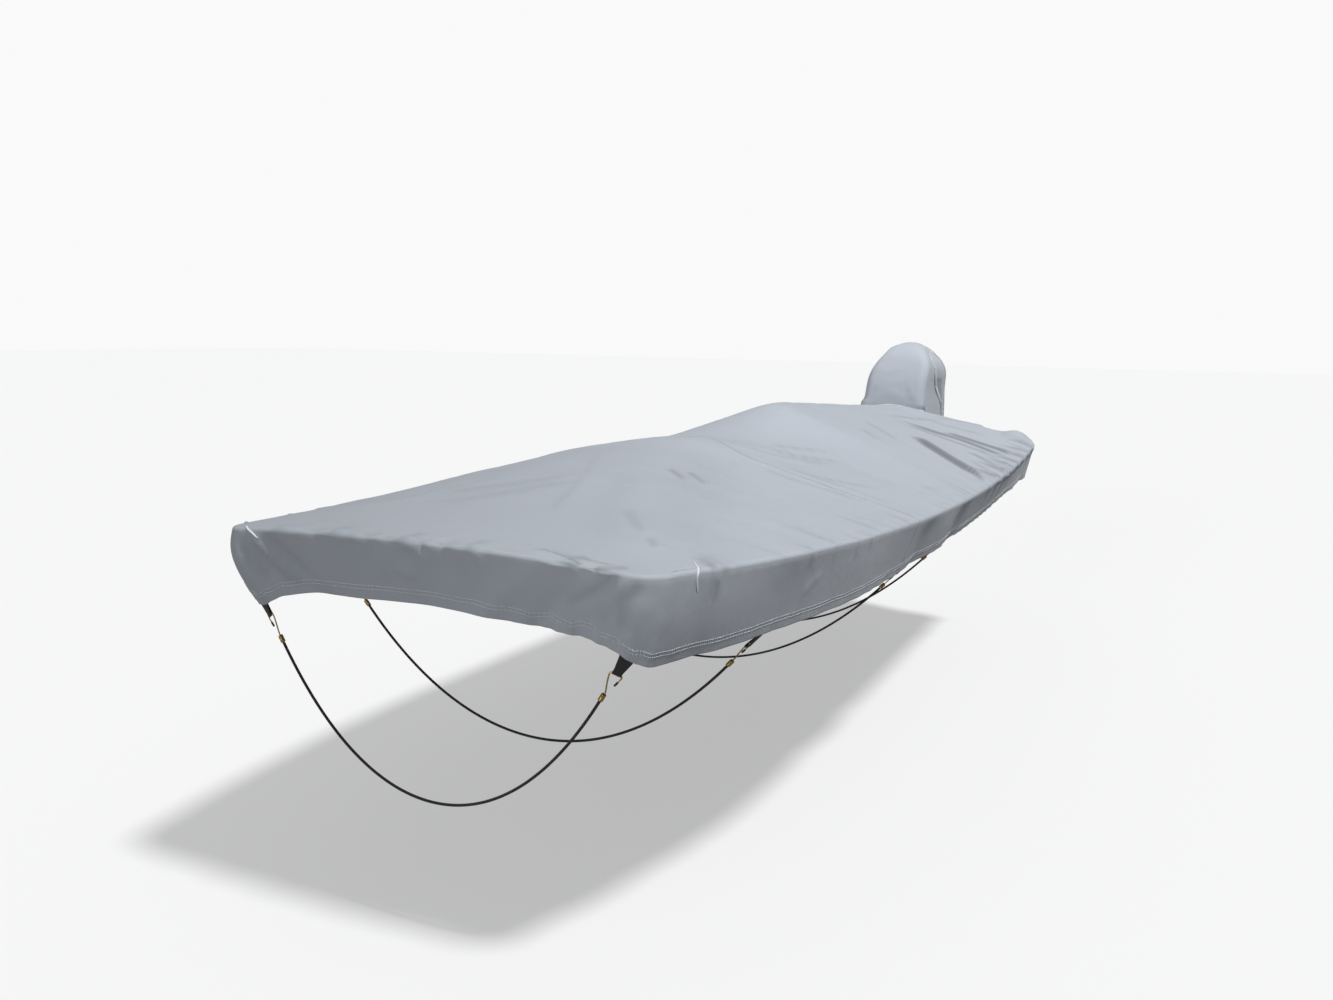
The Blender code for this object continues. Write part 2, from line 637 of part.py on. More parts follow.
def tie_down(facet, lining, side, number, slope):
    """Loop, hook, tip and crimp at one place on the hem. Returns where the cord starts."""
    low_here, low_there, high_there, high_here = facet.corners
    hem = (low_here + low_there) / 2
    along = unit(low_there - low_here)
    rise = unit((high_here + high_there) / 2 - hem)
    inward = unit(np.cross(rise, along))
    if np.dot(inward, np.array([0.0, 2.0, 0.0]) - hem * np.array([1, 1, 0])) < 0:
        inward = -inward
    pull = np.array([-side * math.cos(slope), 0.0, -math.sin(slope)])
    sideways = unit(along - np.dot(along, pull) * pull)
    sewn_rise = unit(np.cross(inward, sideways))
    if sewn_rise[2] < 0:
        sewn_rise = -sewn_rise
    behind = unit(np.cross(sideways, pull))
    if np.dot(behind, inward) < 0:
        behind = -behind

    # The strip lies on the highest part of the cloth that it covers.
    sink = 0.0
    for across in np.linspace(-LOOP_WIDTH / 2, LOOP_WIDTH / 2, 9):
        for up in np.linspace(0.0, LOOP_SEWN, 5):
            probe = hem + sideways * across + sewn_rise * up + inward * PROBE_REACH
            distance = lining.ray_cast(Vector(probe), Vector(-inward))[3]
            if distance is not None:
                sink = max(sink, PROBE_REACH - distance)
    first = hem + inward * (sink + 2 * SEAM_GAP + WEBBING / 2)
    bend = WIRE_RADIUS + 2 * SEAM_GAP + WEBBING / 2
    closed = WEBBING + 2 * SEAM_GAP
    elbow = first - sewn_rise * LOOP_ELBOW
    outer = [first + sewn_rise * LOOP_SEWN, first + sewn_rise * LOOP_SEWN / 2, first, elbow,
             elbow + pull * LOOP_DROP * LOOP_NECK, elbow + pull * LOOP_DROP * LOOP_CLOSES]
    wire = elbow + pull * LOOP_DROP + behind * bend
    turn = [wire - behind * bend * math.cos(angle) + pull * bend * math.sin(angle)
            for angle in np.linspace(0, math.pi, 8)]
    inner = [elbow + pull * LOOP_DROP * LOOP_CLOSES + behind * bend * LOOP_SPREAD,
             elbow + pull * LOOP_DROP * LOOP_NECK + behind * (bend + closed / 2),
             elbow + behind * closed + inward * LOOP_EASE, first + inward * closed,
             first + sewn_rise * LOOP_SEWN / 2 + inward * closed,
             first + sewn_rise * LOOP_SEWN + inward * closed]
    path = outer + turn + inner
    gathered = [max(float(np.dot(place - elbow, pull)), 0.0) / (LOOP_DROP * LOOP_CLOSES) for place in path]
    waist = [max(LOOP_WAIST, LOOP_WIDTH - (LOOP_WIDTH - LOOP_WAIST) * share) for share in gathered]
    label = ("port" if side > 0 else "starboard") + "_" + str(number)
    ribbon("tie_loop_" + label, path, waist, sideways, WEBBING, BLACK_WEBBING)

    def on_hook(a, b):
        return wire + sideways * a + pull * b

    hook = [on_hook(aside, down) for aside, down in HOOK_BENDS]
    rod("tie_hook_" + label, hook, WIRE_RADIUS, 2, YELLOW_WIRE, 0.3, 1.0)
    away = unit(hook[-1] - hook[-2])
    tip_start = hook[-1] + away * SEAM_GAP
    rod("hook_tip_" + label, [tip_start, tip_start + away * TIP_LENGTH], WIRE_RADIUS + TIP_THICKNESS, 2,
        BLACK_WEBBING, 0.5, 0.0)
    crimp_start = on_hook(0.0, HOOK_LENGTH) + pull * SEAM_GAP
    crimp_end = crimp_start + pull * CRIMP_LENGTH
    rod("cord_crimp_" + label, [crimp_start, crimp_end], CRIMP_RADIUS, 4, YELLOW_WIRE, 0.35, 1.0)
    return crimp_end + pull * CORD_CLEARANCE


def catenary(start, end, slope):
    """A slack cord between two points, leaving each of them at a slope."""
    half_span = float(np.linalg.norm((end - start)[:2])) / 2
    flat = half_span / math.asinh(math.tan(slope))
    route = []
    for n in range(CORD_POINTS):
        share = n / (CORD_POINTS - 1)
        offset = (2 * share - 1) * half_span
        sag = flat * (math.cosh(offset / flat) - math.cosh(half_span / flat))
        route.append(start + (end - start) * share + np.array([0.0, 0.0, sag]))
    return route


def build_tie_downs(cover):
    for number, tie in enumerate(TIES, start=1):
        slope = math.radians(tie.slope)
        ends = []
        for side in (1, -1):
            facet = min(cover.facets, key=lambda item: abs(item.distance - side * tie.distance))
            ends.append(tie_down(facet, cover.lining, side, number, slope))
        rod("shock_cord_" + str(number), catenary(*ends, slope), CORD_DIAMETER / 2, 2,
            BLACK_WEBBING, 0.8, 0.0)


for old in list(bpy.data.objects):
    bpy.data.objects.remove(old, do_unlink=True)

cover = build_cover()
build_hood_side("hood_side_port", 1)
build_hood_side("hood_side_starboard", -1)
build_hood_band(cover.skin)
build_tie_downs(cover)
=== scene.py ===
"""The looks of a fitted grey cover for a flat-bottomed boat.

The cover is proofed cloth drawn over the gunwale and two support poles, with a double
stitched hem, a cross seam, a hood for the outboard motor, and four shock cords whose
wire hooks hold on webbing loops at the hem.

Metres, +Z up. Y runs from the bow (-Y) to the stern (+Y), and +X is the port side. In
the cloth's sections a place is given as (across, station, height): across from the
centre line towards port, station aft of the bow edge, height above the gunwale
amidships. to_frame() turns it into the object's own frame.
"""
import math
from collections import namedtuple

import bpy
import numpy as np
from mathutils import Matrix, Vector, noise
from mathutils.bvhtree import BVHTree


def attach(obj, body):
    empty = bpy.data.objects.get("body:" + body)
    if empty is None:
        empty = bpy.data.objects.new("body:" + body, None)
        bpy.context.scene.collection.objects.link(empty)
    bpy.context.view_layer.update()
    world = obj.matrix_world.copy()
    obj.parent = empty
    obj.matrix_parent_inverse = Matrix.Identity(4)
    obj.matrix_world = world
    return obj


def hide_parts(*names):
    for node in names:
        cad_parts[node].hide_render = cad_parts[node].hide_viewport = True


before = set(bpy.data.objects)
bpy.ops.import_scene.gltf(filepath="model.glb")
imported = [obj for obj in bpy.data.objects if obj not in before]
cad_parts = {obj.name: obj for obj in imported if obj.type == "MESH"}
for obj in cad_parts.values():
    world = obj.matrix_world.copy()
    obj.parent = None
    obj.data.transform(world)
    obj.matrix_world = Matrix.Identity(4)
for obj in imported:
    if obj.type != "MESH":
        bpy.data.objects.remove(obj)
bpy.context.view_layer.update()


# ---------------------------------------------------------------- the camera
# A person's eye stands off the port bow, a little above the cover, and looks down
# along it. The lens is a short wide one, and the horizon leans by under a degree.

EYE = Vector((1.83, -3.96, 0.403))
EYE_YAW = math.radians(26.1)
EYE_PITCH = math.radians(8.4)
EYE_ROLL = math.radians(0.84)
FRAME_WIDTH_PX = 1333
FOCAL_PX = 1150
SENSOR_MM = 36.0

level_right = Vector((math.cos(EYE_YAW), math.sin(EYE_YAW), 0.0))
level_ahead = Vector((-math.sin(EYE_YAW), math.cos(EYE_YAW), 0.0))
straight_up = Vector((0.0, 0.0, 1.0))
ahead = level_ahead * math.cos(EYE_PITCH) - straight_up * math.sin(EYE_PITCH)
upright = straight_up * math.cos(EYE_PITCH) + level_ahead * math.sin(EYE_PITCH)
right = level_right * math.cos(EYE_ROLL) + upright * math.sin(EYE_ROLL)
up = upright * math.cos(EYE_ROLL) - level_right * math.sin(EYE_ROLL)

lens = bpy.data.cameras.new("eye")
lens.sensor_fit = "HORIZONTAL"
lens.sensor_width = SENSOR_MM
lens.lens = SENSOR_MM * FOCAL_PX / FRAME_WIDTH_PX
camera = bpy.data.objects.new("eye", lens)
bpy.context.collection.objects.link(camera)
turn = Matrix((right, up, -ahead)).transposed().to_4x4()
camera.matrix_world = Matrix.Translation(EYE) @ turn
bpy.context.scene.camera = camera


# ---------------------------------------------------------------- the shock cords
# Four black shock cords pass under the hull from side to side: rubber strands in a
# braided sleeve, 8 mm thick. Each end is held in the wire crimp of a hook. Off the boat
# they hang slack between their hooks.

CORD_DIAMETER = 0.008
CORD_SIDES = 16
CORD_STEPS = 90
SLEEVE_PITCH = 0.0011           # one thread of the braid
BLACK_YARN = (0.011, 0.011, 0.012)
WORN_YARN = (0.035, 0.034, 0.034)
ShockCord = namedtuple("ShockCord", "number port starboard slope")
SHOCK_CORDS = (
    ShockCord(1, (0.4944, -1.5902, -0.4992), (-0.5432, -1.5805, -0.4942), 58),
    ShockCord(2, (0.6256, -1.1032, -0.5180), (-0.6381, -1.1059, -0.4984), 48),
    ShockCord(3, (0.7182, 0.1000, -0.5234), (-0.7184, 0.0402, -0.5232), 46),
    ShockCord(4, (0.7168, 0.7388, -0.5286), (-0.7169, 0.7391, -0.5294), 46),
)
SIDES = ("port", "starboard")


def feed(tree, made, inputs):
    """Sets a node's inputs. Each is a value, or the socket that it comes from."""
    for name, value in inputs.items():
        socket = made.inputs[name]
        if isinstance(value, bpy.types.NodeSocket):
            tree.links.new(value, socket)
        else:
            socket.default_value = value


def place_node(tree, kind, inputs=None, **settings):
    """Adds a node. Its settings are made first, because some of them give it its inputs."""
    made = tree.nodes.new(kind)
    for name, value in settings.items():
        setattr(made, name, value)
    feed(tree, made, inputs or {})
    return made


def sum_node(tree, operation, *values):
    """What a Math node makes of its values."""
    return place_node(tree, "ShaderNodeMath", dict(enumerate(values)), operation=operation).outputs[0]


def mottle(tree, place, scale, detail):
    """Uneven patches over a surface, from 0 to 1."""
    patches = place_node(tree, "ShaderNodeTexNoise", {"Vector": place, "Scale": scale, "Detail": detail})
    return patches.outputs["Fac"]


def two_tone(tree, share, dark, light):
    """A colour that is a share of the way from dark to light."""
    tones = {0: share, 6: (*dark, 1), 7: (*light, 1)}
    return place_node(tree, "ShaderNodeMix", tones, data_type="RGBA").outputs[2]


def bumped(tree, height, distance, strength=1.0, under=None):
    """A surface's relief, over the relief that lies under it."""
    bump = place_node(tree, "ShaderNodeBump", {"Height": height, "Distance": distance, "Strength": strength})
    if under is not None:
        tree.links.new(under, bump.inputs["Normal"])
    return bump.outputs[0]


def new_group(name, inputs, outputs):
    """An empty shader node group with named inputs and outputs."""
    tree = bpy.data.node_groups.new(name, "ShaderNodeTree")
    for label, kind, value in inputs:
        socket = tree.interface.new_socket(label, in_out="INPUT", socket_type=kind)
        if value is not None:
            socket.default_value = value
    for label, kind in outputs:
        tree.interface.new_socket(label, in_out="OUTPUT", socket_type=kind)
    return tree, tree.nodes.new("NodeGroupInput"), tree.nodes.new("NodeGroupOutput")


def make_weave():
    """Plain weave: threads that pass over and under each other by turns. Height is the
    threads' relief."""
    tree, given, result = new_group(
        "plain_weave",
        [("Place", "NodeSocketVector", None), ("Pitch", "NodeSocketFloat", 0.0007)],
        [("Height", "NodeSocketFloat")])
    split = place_node(tree, "ShaderNodeSeparateXYZ", {0: given.outputs["Place"]})
    waves = []
    for axis in ("X", "Y"):
        turns = sum_node(tree, "DIVIDE", split.outputs[axis], given.outputs["Pitch"])
        waves.append(sum_node(tree, "SINE", sum_node(tree, "MULTIPLY", turns, math.pi)))
    over = sum_node(tree, "GREATER_THAN", sum_node(tree, "MULTIPLY", *waves), 0.0)
    warp = sum_node(tree, "ABSOLUTE", waves[0])
    weft = sum_node(tree, "ABSOLUTE", waves[1])
    height = place_node(tree, "ShaderNodeMix", {0: over, 2: weft, 3: warp})
    tree.links.new(height.outputs[0], result.inputs["Height"])
    return tree


weave = make_weave()


def new_material(name):
    """A material, its tree and its shader."""
    material = bpy.data.materials.new(name)
    material.use_nodes = True
    tree = material.node_tree
    return material, tree, tree.nodes["Principled BSDF"]


def woven_threads(tree, cloth_map, pitch):
    """The height of a weave's threads, on a map of the cloth as it was cut."""
    threads = place_node(tree, "ShaderNodeGroup", {"Place": cloth_map, "Pitch": pitch}, node_tree=weave)
    return threads.outputs["Height"]


def woven(name, dark, light, pitch, relief, roughness, sheen):
    """A woven yarn finish on the piece's own UV map, in metres."""
    material, tree, shader = new_material(name)
    cloth_map = place_node(tree, "ShaderNodeUVMap", uv_map="laid_flat").outputs[0]
    threads = woven_threads(tree, cloth_map, pitch)
    rubbed = sum_node(tree, "MULTIPLY", threads, mottle(tree, cloth_map, scale=160.0, detail=4.0))
    feed(tree, shader, {"Base Color": two_tone(tree, rubbed, dark, light),
                        "Normal": bumped(tree, threads, relief),
                        "Roughness": roughness, "Sheen Weight": sheen})
    return material


def add_piece(name, points, faces, material, flat=None, sharp=50.0):
    """A mesh piece in the object's frame. flat gives each corner of each face its place on
    the cloth as it was cut, in metres."""
    mesh = bpy.data.meshes.new(name)
    mesh.from_pydata([tuple(map(float, point)) for point in points], [], faces)
    if flat is not None:
        layer = mesh.uv_layers.new(name="laid_flat")
        layer.data.foreach_set("uv", np.asarray(flat, np.float32).ravel())
    mesh.shade_smooth()
    mesh.set_sharp_from_angle(angle=math.radians(sharp))
    mesh.materials.append(material)
    piece = bpy.data.objects.new(name, mesh)
    bpy.context.collection.objects.link(piece)
    return piece


def dress(piece, finish, *nodes):
    """The piece rides with the part and stands for its nodes. finish is not used."""
    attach(piece, "root")
    if nodes:
        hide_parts(*nodes)
    return piece


def unit(vectors):
    """The same directions at a length of 1. Where there is none, it stays 0."""
    lengths = np.linalg.norm(vectors, axis=-1, keepdims=True)
    return vectors / np.where(lengths > 0, lengths, 1)


def length_along(path):
    """How far along a path each of its points lies."""
    return np.concatenate([[0], np.cumsum(np.linalg.norm(np.diff(path, axis=0), axis=1))])


def close_round(path, sides, across):
    """Faces round a run of rings along a path, with closed ends, and the place of each of
    their corners on the piece as it was cut. across gives its first measure, for a ring and
    a place round it."""
    along = length_along(path)
    faces, flat = [], []
    for n in range(len(path) - 1):
        for k in range(sides):
            corners = ((n, k), (n, k + 1), (n + 1, k + 1), (n + 1, k))
            faces.append(tuple(ring * sides + place % sides for ring, place in corners))
            flat += [(across(n, place), along[ring]) for ring, place in corners]
    last = (len(path) - 1) * sides
    for end in (range(sides)[::-1], range(last, last + sides)):
        faces.append(tuple(end))
        flat += [(0.0, 0.0)] * sides
    return faces, flat


OFF_AXIS = (0.31, 0.52, 0.80)   # along no tube here, so each tube's first ring can turn from it


def tube_mesh(path, radii, sides):
    """Points, faces and corner places of a round tube along a path, with closed ends."""
    path = np.asarray(path, float)
    radii = np.broadcast_to(radii, len(path))
    tangents = unit(np.gradient(path, axis=0))
    across = unit(np.cross(tangents[0], OFF_AXIS))
    points = []
    for place, tangent, radius in zip(path, tangents, radii):
        across = unit(across - tangent * across.dot(tangent))
        other = np.cross(tangent, across)
        for k in range(sides):
            angle = 2 * math.pi * k / sides
            points.append(place + radius * (across * math.cos(angle) + other * math.sin(angle)))
    return points, *close_round(path, sides, lambda ring, place: 2 * math.pi * radii[ring] * place / sides)


def add_tube(name, path, radii, sides, material, finish, *nodes):
    """A round piece along a path, in one of the part's finishes."""
    points, faces, flat = tube_mesh(path, radii, sides)
    return dress(add_piece(name, points, faces, material, flat), finish, *nodes)


def hanging(start, end, slope, steps):
    """A slack cord between two points, leaving each of them at a slope."""
    start, end = np.array(start), np.array(end)
    half_span = np.linalg.norm((end - start)[:2]) / 2
    flatness = half_span / math.asinh(math.tan(slope))
    share = np.linspace(0, 1, steps)
    sag = flatness * (np.cosh((2 * share - 1) * half_span / flatness) - math.cosh(half_span / flatness))
    return start + np.outer(share, end - start) + np.outer(sag, (0, 0, 1))


sleeve = woven("braided_sleeve", BLACK_YARN, WORN_YARN, SLEEVE_PITCH, relief=0.0003, roughness=0.82,
               sheen=0.15)
for shock in SHOCK_CORDS:
    route = hanging(shock.port, shock.starboard, math.radians(shock.slope), CORD_STEPS)
    cord_piece = add_tube(f"cord_{shock.number}", route, CORD_DIAMETER / 2, CORD_SIDES, sleeve, "shock_cord",
                          f"shock_cord_{shock.number}")


# ---------------------------------------------------------------- the cover's cloth
# Two panels of woven polyester, proofed on the inside, cut to the boat and drawn tight
# over the gunwale. The skirt turns in under the gunwale to a hem 40 mm deep. The cloth
# is pulled into long soft folds by the poles, and into small pleats over the edge.

BOAT_LENGTH = 4.30
CLOTH_SHEET = 0.0014            # the cloth, doubled by its proofing
EDGE_RADIUS = 0.013             # cloth pulled round the gunwale
BOW_CORNER = 0.090
STERN_CORNER = 0.060
BOW_CROWN = 0.029
SEAM_STATION = 1.68
POLE_STATION = 1.62
MOTOR_REACH = 0.145
MOTOR_FLAT = 0.25
MOTOR_BLEND = 0.75
CORNER_BLEND = 0.60
RIDGE_SOFTNESS = 0.055
SEAM_SWING = 0.130              # the cross seam is drawn forward down both slopes
SEAM_SWING_OUT = 0.32
SEAM_SWING_REACH = 0.30
HOOD_ACROSS = 0.020
HOOD_NOTCH = 0.1835             # the half-width of the gap that the skirt leaves for the motor
NOTCH_SLACK = 0.001

Rim = namedtuple("Rim", "station port starboard height")
RIM = (
    Rim(0.00, 0.676, 0.732, 0.080),
    Rim(0.26, 0.744, 0.774, 0.070),
    Rim(0.65, 0.818, 0.824, 0.057),
    Rim(1.08, 0.871, 0.871, 0.039),
    Rim(1.70, 0.897, 0.897, 0.015),
    Rim(2.15, 0.897, 0.897, 0.000),
    Rim(2.80, 0.884, 0.884, -0.012),
    Rim(3.40, 0.873, 0.873, -0.004),
    Rim(3.96, 0.868, 0.868, 0.030),
    Rim(4.30, 0.866, 0.866, 0.070),
)
Ridge = namedtuple("Ridge", "station height port_fullness starboard_fullness")
RIDGE = (
    Ridge(0.00, 0.113, 2.00, 2.00),
    Ridge(0.45, 0.152, 1.60, 2.10),
    Ridge(0.95, 0.192, 1.25, 2.30),
    Ridge(1.40, 0.228, 1.10, 2.05),
    Ridge(1.62, 0.250, 1.02, 1.65),
    Ridge(1.74, 0.242, 1.02, 1.65),
    Ridge(2.05, 0.196, 1.35, 2.00),
    Ridge(2.30, 0.262, 1.20, 1.50),
    Ridge(2.48, 0.335, 1.05, 1.03),
    Ridge(3.10, 0.302, 1.10, 1.10),
    Ridge(3.70, 0.266, 1.10, 1.10),
    Ridge(4.45, 0.225, 1.00, 1.00),
)
Swell = namedtuple("Swell", "station across rise reach_along reach_across")
SWELLS = (
    Swell(4.23, 0.795, 0.095, 0.12, 0.08),
    Swell(4.23, -0.795, 0.095, 0.12, 0.08),
)
SWELL_HELD = 6                  # a swell keeps its height until close to the edge
Hem = namedtuple("Hem", "distance height tuck bulge")
HEM = (
    Hem(-5.90, -0.060, 0.010, 0.000),
    Hem(-5.20, -0.120, 0.030, 0.000),
    Hem(-4.70, -0.140, 0.050, 0.000),
    Hem(-3.60, -0.186, 0.066, 0.000),
    Hem(-2.40, -0.178, 0.066, 0.000),
    Hem(-1.30, -0.160, 0.060, 0.000),
    Hem(-0.95, -0.110, 0.055, 0.010),
    Hem(-0.76, -0.085, 0.050, 0.024),
    Hem(-0.70, -0.105, 0.050, 0.024),
    Hem(-0.62, -0.142, 0.050, 0.014),
    Hem(-0.50, -0.098, 0.036, 0.004),
    Hem(-0.36, -0.074, 0.030, 0.000),
    Hem(0.00, -0.062, 0.030, 0.000),
    Hem(0.36, -0.080, 0.032, 0.000),
    Hem(0.50, -0.098, 0.040, 0.000),
    Hem(0.62, -0.150, 0.055, 0.006),
    Hem(0.72, -0.163, 0.060, 0.010),
    Hem(1.30, -0.170, 0.060, 0.000),
    Hem(2.40, -0.178, 0.066, 0.000),
    Hem(3.60, -0.186, 0.066, 0.000),
    Hem(4.70, -0.140, 0.050, 0.000),
    Hem(5.20, -0.120, 0.030, 0.000),
    Hem(5.90, -0.060, 0.010, 0.000),
)
Fold = namedtuple("Fold", "distance drift width depth")
FOLDS = (
    Fold(0.10, -0.10, 0.060, -0.006),
    Fold(0.34, -0.16, 0.050, 0.010),
    Fold(0.47, -0.14, 0.040, -0.010),
    Fold(0.60, -0.06, 0.045, 0.012),
    Fold(0.80, 0.05, 0.050, -0.008),
    Fold(1.22, 0.00, 0.120, -0.010),
    Fold(1.75, 0.05, 0.200, 0.008),
    Fold(2.40, 0.00, 0.110, -0.012),
    Fold(2.72, 0.02, 0.120, 0.008),
    Fold(3.02, 0.00, 0.110, -0.012),
    Fold(4.60, -0.10, 0.060, 0.008),
    Fold(4.80, -0.06, 0.050, -0.008),
    Fold(-0.30, 0.10, 0.060, 0.008),
    Fold(-0.55, 0.18, 0.050, -0.012),
    Fold(-0.68, 0.14, 0.045, 0.012),
    Fold(-1.22, 0.00, 0.120, -0.010),
    Fold(-2.40, 0.00, 0.110, -0.012),
    Fold(-3.02, 0.00, 0.110, -0.012),
)
FOLD_START = 0.4                # the share of a fold's depth that it has at the edge
ORIGIN_HEIGHT = 0.247           # under the cloth on the front pole


def to_frame(places):
    """Places in the object's own frame."""
    return np.asarray(places, float) - np.array([0.0, POLE_STATION, ORIGIN_HEIGHT])


def smooth(table, places, column):
    """A column's values at places, on a smooth curve through the table's rows."""
    at = np.array([row[0] for row in table])
    values = np.array([getattr(row, column) for row in table])
    chords = np.diff(values) / np.diff(at)
    left = np.concatenate([chords[:1], chords])
    right_hand = np.concatenate([chords, chords[-1:]])
    level_off = left * right_hand <= 0
    total = np.where(level_off, 1, left + right_hand)
    slopes = np.where(level_off, 0, 2 * left * right_hand / total)
    places = np.clip(places, at[0], at[-1])
    low = np.clip(np.searchsorted(at, places, side="right") - 1, 0, len(at) - 2)
    width = np.diff(at)[low]
    t = (places - at[low]) / width
    start = values[low] + t * t * (3 - 2 * t) * (values[low + 1] - values[low])
    return start + width * t * (1 - t) * ((1 - t) * slopes[low] - t * slopes[low + 1])


def smoothstep(low, high, value):
    """Goes softly from 0 to 1 as a value goes from low to high."""
    t = np.clip((value - low) / (high - low), 0, 1)
    return t * t * (3 - 2 * t)


def half_width(across, station):
    """The top's half-width, inside the turn of its edge, on the side of a place across it."""
    port = smooth(RIM, station, "port")
    return np.where(np.asarray(across) > 0, port, smooth(RIM, station, "starboard")) - EDGE_RADIUS


def top_height(across, station):
    """The top's height: a soft ridge with a slope to either edge, and the stern's swells."""
    half = half_width(across, station)
    rim = smooth(RIM, station, "height")
    ridge = smooth(RIDGE, station, "height")
    port = smooth(RIDGE, station, "port_fullness")
    fullness = np.where(across > 0, port, smooth(RIDGE, station, "starboard_fullness"))
    soft_half = np.hypot(half, RIDGE_SOFTNESS) - RIDGE_SOFTNESS
    out = np.clip((np.hypot(across, RIDGE_SOFTNESS) - RIDGE_SOFTNESS) / soft_half, 0, 1)
    height = rim + (ridge - rim) * (1 - out ** fullness)
    inside = 1 - np.clip(np.abs(across) / half, 0, 1) ** SWELL_HELD
    for swell in SWELLS:
        along = (station - swell.station) / swell.reach_along
        sideways = (across - swell.across) / swell.reach_across
        height = height + swell.rise * np.exp(-along * along - sideways * sideways) * inside
    return height


def end_shape(across, half, corner):
    """How far a rounded corner draws the end edge back at a place across it."""
    past = np.clip(np.abs(across) - (half - corner), 0, corner)
    return corner - np.sqrt(corner * corner - past * past)


def top_grid(shares, stations):
    """The top as rows of places: shares of the half-width across, at each side station."""
    share, station = np.meshgrid(shares, stations)
    drawn = SEAM_SWING * smoothstep(0, SEAM_SWING_OUT, np.abs(share))
    station = station - drawn * np.exp(-((station - SEAM_STATION) / SEAM_SWING_REACH) ** 2)
    half = half_width(share, station)
    across = share * half
    near_bow = np.clip(1 - station / CORNER_BLEND, 0, 1)
    near_stern = np.clip(1 - (BOAT_LENGTH - station) / CORNER_BLEND, 0, 1)
    bow = end_shape(across, half, BOW_CORNER) - BOW_CROWN * (1 - share * share)
    stern = MOTOR_REACH * (1 - smoothstep(MOTOR_FLAT, MOTOR_BLEND, np.abs(across)))
    stern -= end_shape(across, half, STERN_CORNER) + EDGE_RADIUS
    place = station + bow * near_bow + stern * near_stern
    return np.stack([across, place, top_height(across, np.maximum(place, 0))], axis=-1)


# The rows and columns of the cloth's mesh: closest where the edge turns and where the
# folds are small.
BOW_HALF = 0.68
CORNER_SHARE = BOW_CORNER / BOW_HALF
CORNER_STEPS = 10
PORT_STEP = 0.0095
STARBOARD_STEP = 0.0240
BOW_STEP = 0.0095
MIDDLE_STEP = 0.0240
FOLDED_STEP = 0.0076
STERN_STEP = 0.0135
FOLDED = (2.85, 3.92)           # the stretch of the after part where the deepest folds lie
FELL_ROWS = (0.0062, 0.0078, 0.0160)    # the felled seam's edge, and the cloth beside it
EDGE_TURNS = np.radians((15, 30, 45, 60, 75, 90))
SKIRT_STEPS = 11
STITCH_ROWS = (0.038, 0.028)
HEM_LEVELS = (0.0405, 0.0380, 0.0330, 0.0280, 0.0215, 0.0150, 0.0085, 0.0030, 0.0)

corner_angles = np.linspace(0, math.pi / 2, CORNER_STEPS)
port_shares, starboard_shares = (
    np.concatenate([np.arange(step, 1 - CORNER_SHARE - step / 2, step),
                    1 - CORNER_SHARE * (1 - np.sin(corner_angles))])
    for step in (PORT_STEP, STARBOARD_STEP))
stern_half = float(half_width(1.0, BOAT_LENGTH))
notch_shares = [(HOOD_ACROSS + side * HOOD_NOTCH) / stern_half for side in (-1, 1)]
shares = np.concatenate([-starboard_shares[::-1], [0.0], port_shares])
for notch_share in notch_shares:
    shares[np.argmin(np.abs(shares - notch_share))] = notch_share
seam_stations = [SEAM_STATION + off
                 for off in (*(-row for row in FELL_ROWS[::-1]), 0.0, *FELL_ROWS)]
fell_end = FELL_ROWS[-1]
stations = np.concatenate([
    np.linspace(0, SEAM_STATION - fell_end, round(SEAM_STATION / BOW_STEP))[:-1],
    seam_stations,
    np.linspace(SEAM_STATION + fell_end, FOLDED[0], round((FOLDED[0] - SEAM_STATION) / MIDDLE_STEP))[1:],
    np.linspace(*FOLDED, round((FOLDED[1] - FOLDED[0]) / FOLDED_STEP) + 1)[1:],
    np.linspace(FOLDED[1], BOAT_LENGTH, round((BOAT_LENGTH - FOLDED[1]) / STERN_STEP) + 1)[1:]])
seam_row = int(np.argmin(np.abs(stations - SEAM_STATION)))
row_count, column_count = len(stations), len(shares)

top = top_grid(shares, stations)
last_row, last_column = row_count - 1, column_count - 1
loop = [(0, i) for i in range(column_count)]
loop += [(j, last_column) for j in range(1, row_count)]
loop += [(last_row, i) for i in range(last_column - 1, -1, -1)]
loop += [(j, 0) for j in range(last_row - 1, 0, -1)]
loop = np.array(loop)
rim_places = top[loop[:, 0], loop[:, 1]]
rim_steps = np.linalg.norm((np.roll(rim_places, -1, axis=0) - rim_places)[:, :2], axis=1)
rim_around = np.concatenate([[0], np.cumsum(rim_steps[:-1])])
bow_middle = rim_around[int(np.argmin(np.abs(shares)))]
distance = (rim_around - bow_middle) % rim_steps.sum()
distance = np.where(distance > rim_steps.sum() / 2, distance - rim_steps.sum(), distance)
rim_ahead = np.roll(rim_places, -1, axis=0) - np.roll(rim_places, 1, axis=0)
outward = unit(np.stack([rim_ahead[:, 1], -rim_ahead[:, 0], np.zeros(len(loop))], axis=1))
hem_height = smooth(HEM, distance, "height")
hem_tuck = smooth(HEM, distance, "tuck")
hem_bulge = smooth(HEM, distance, "bulge")

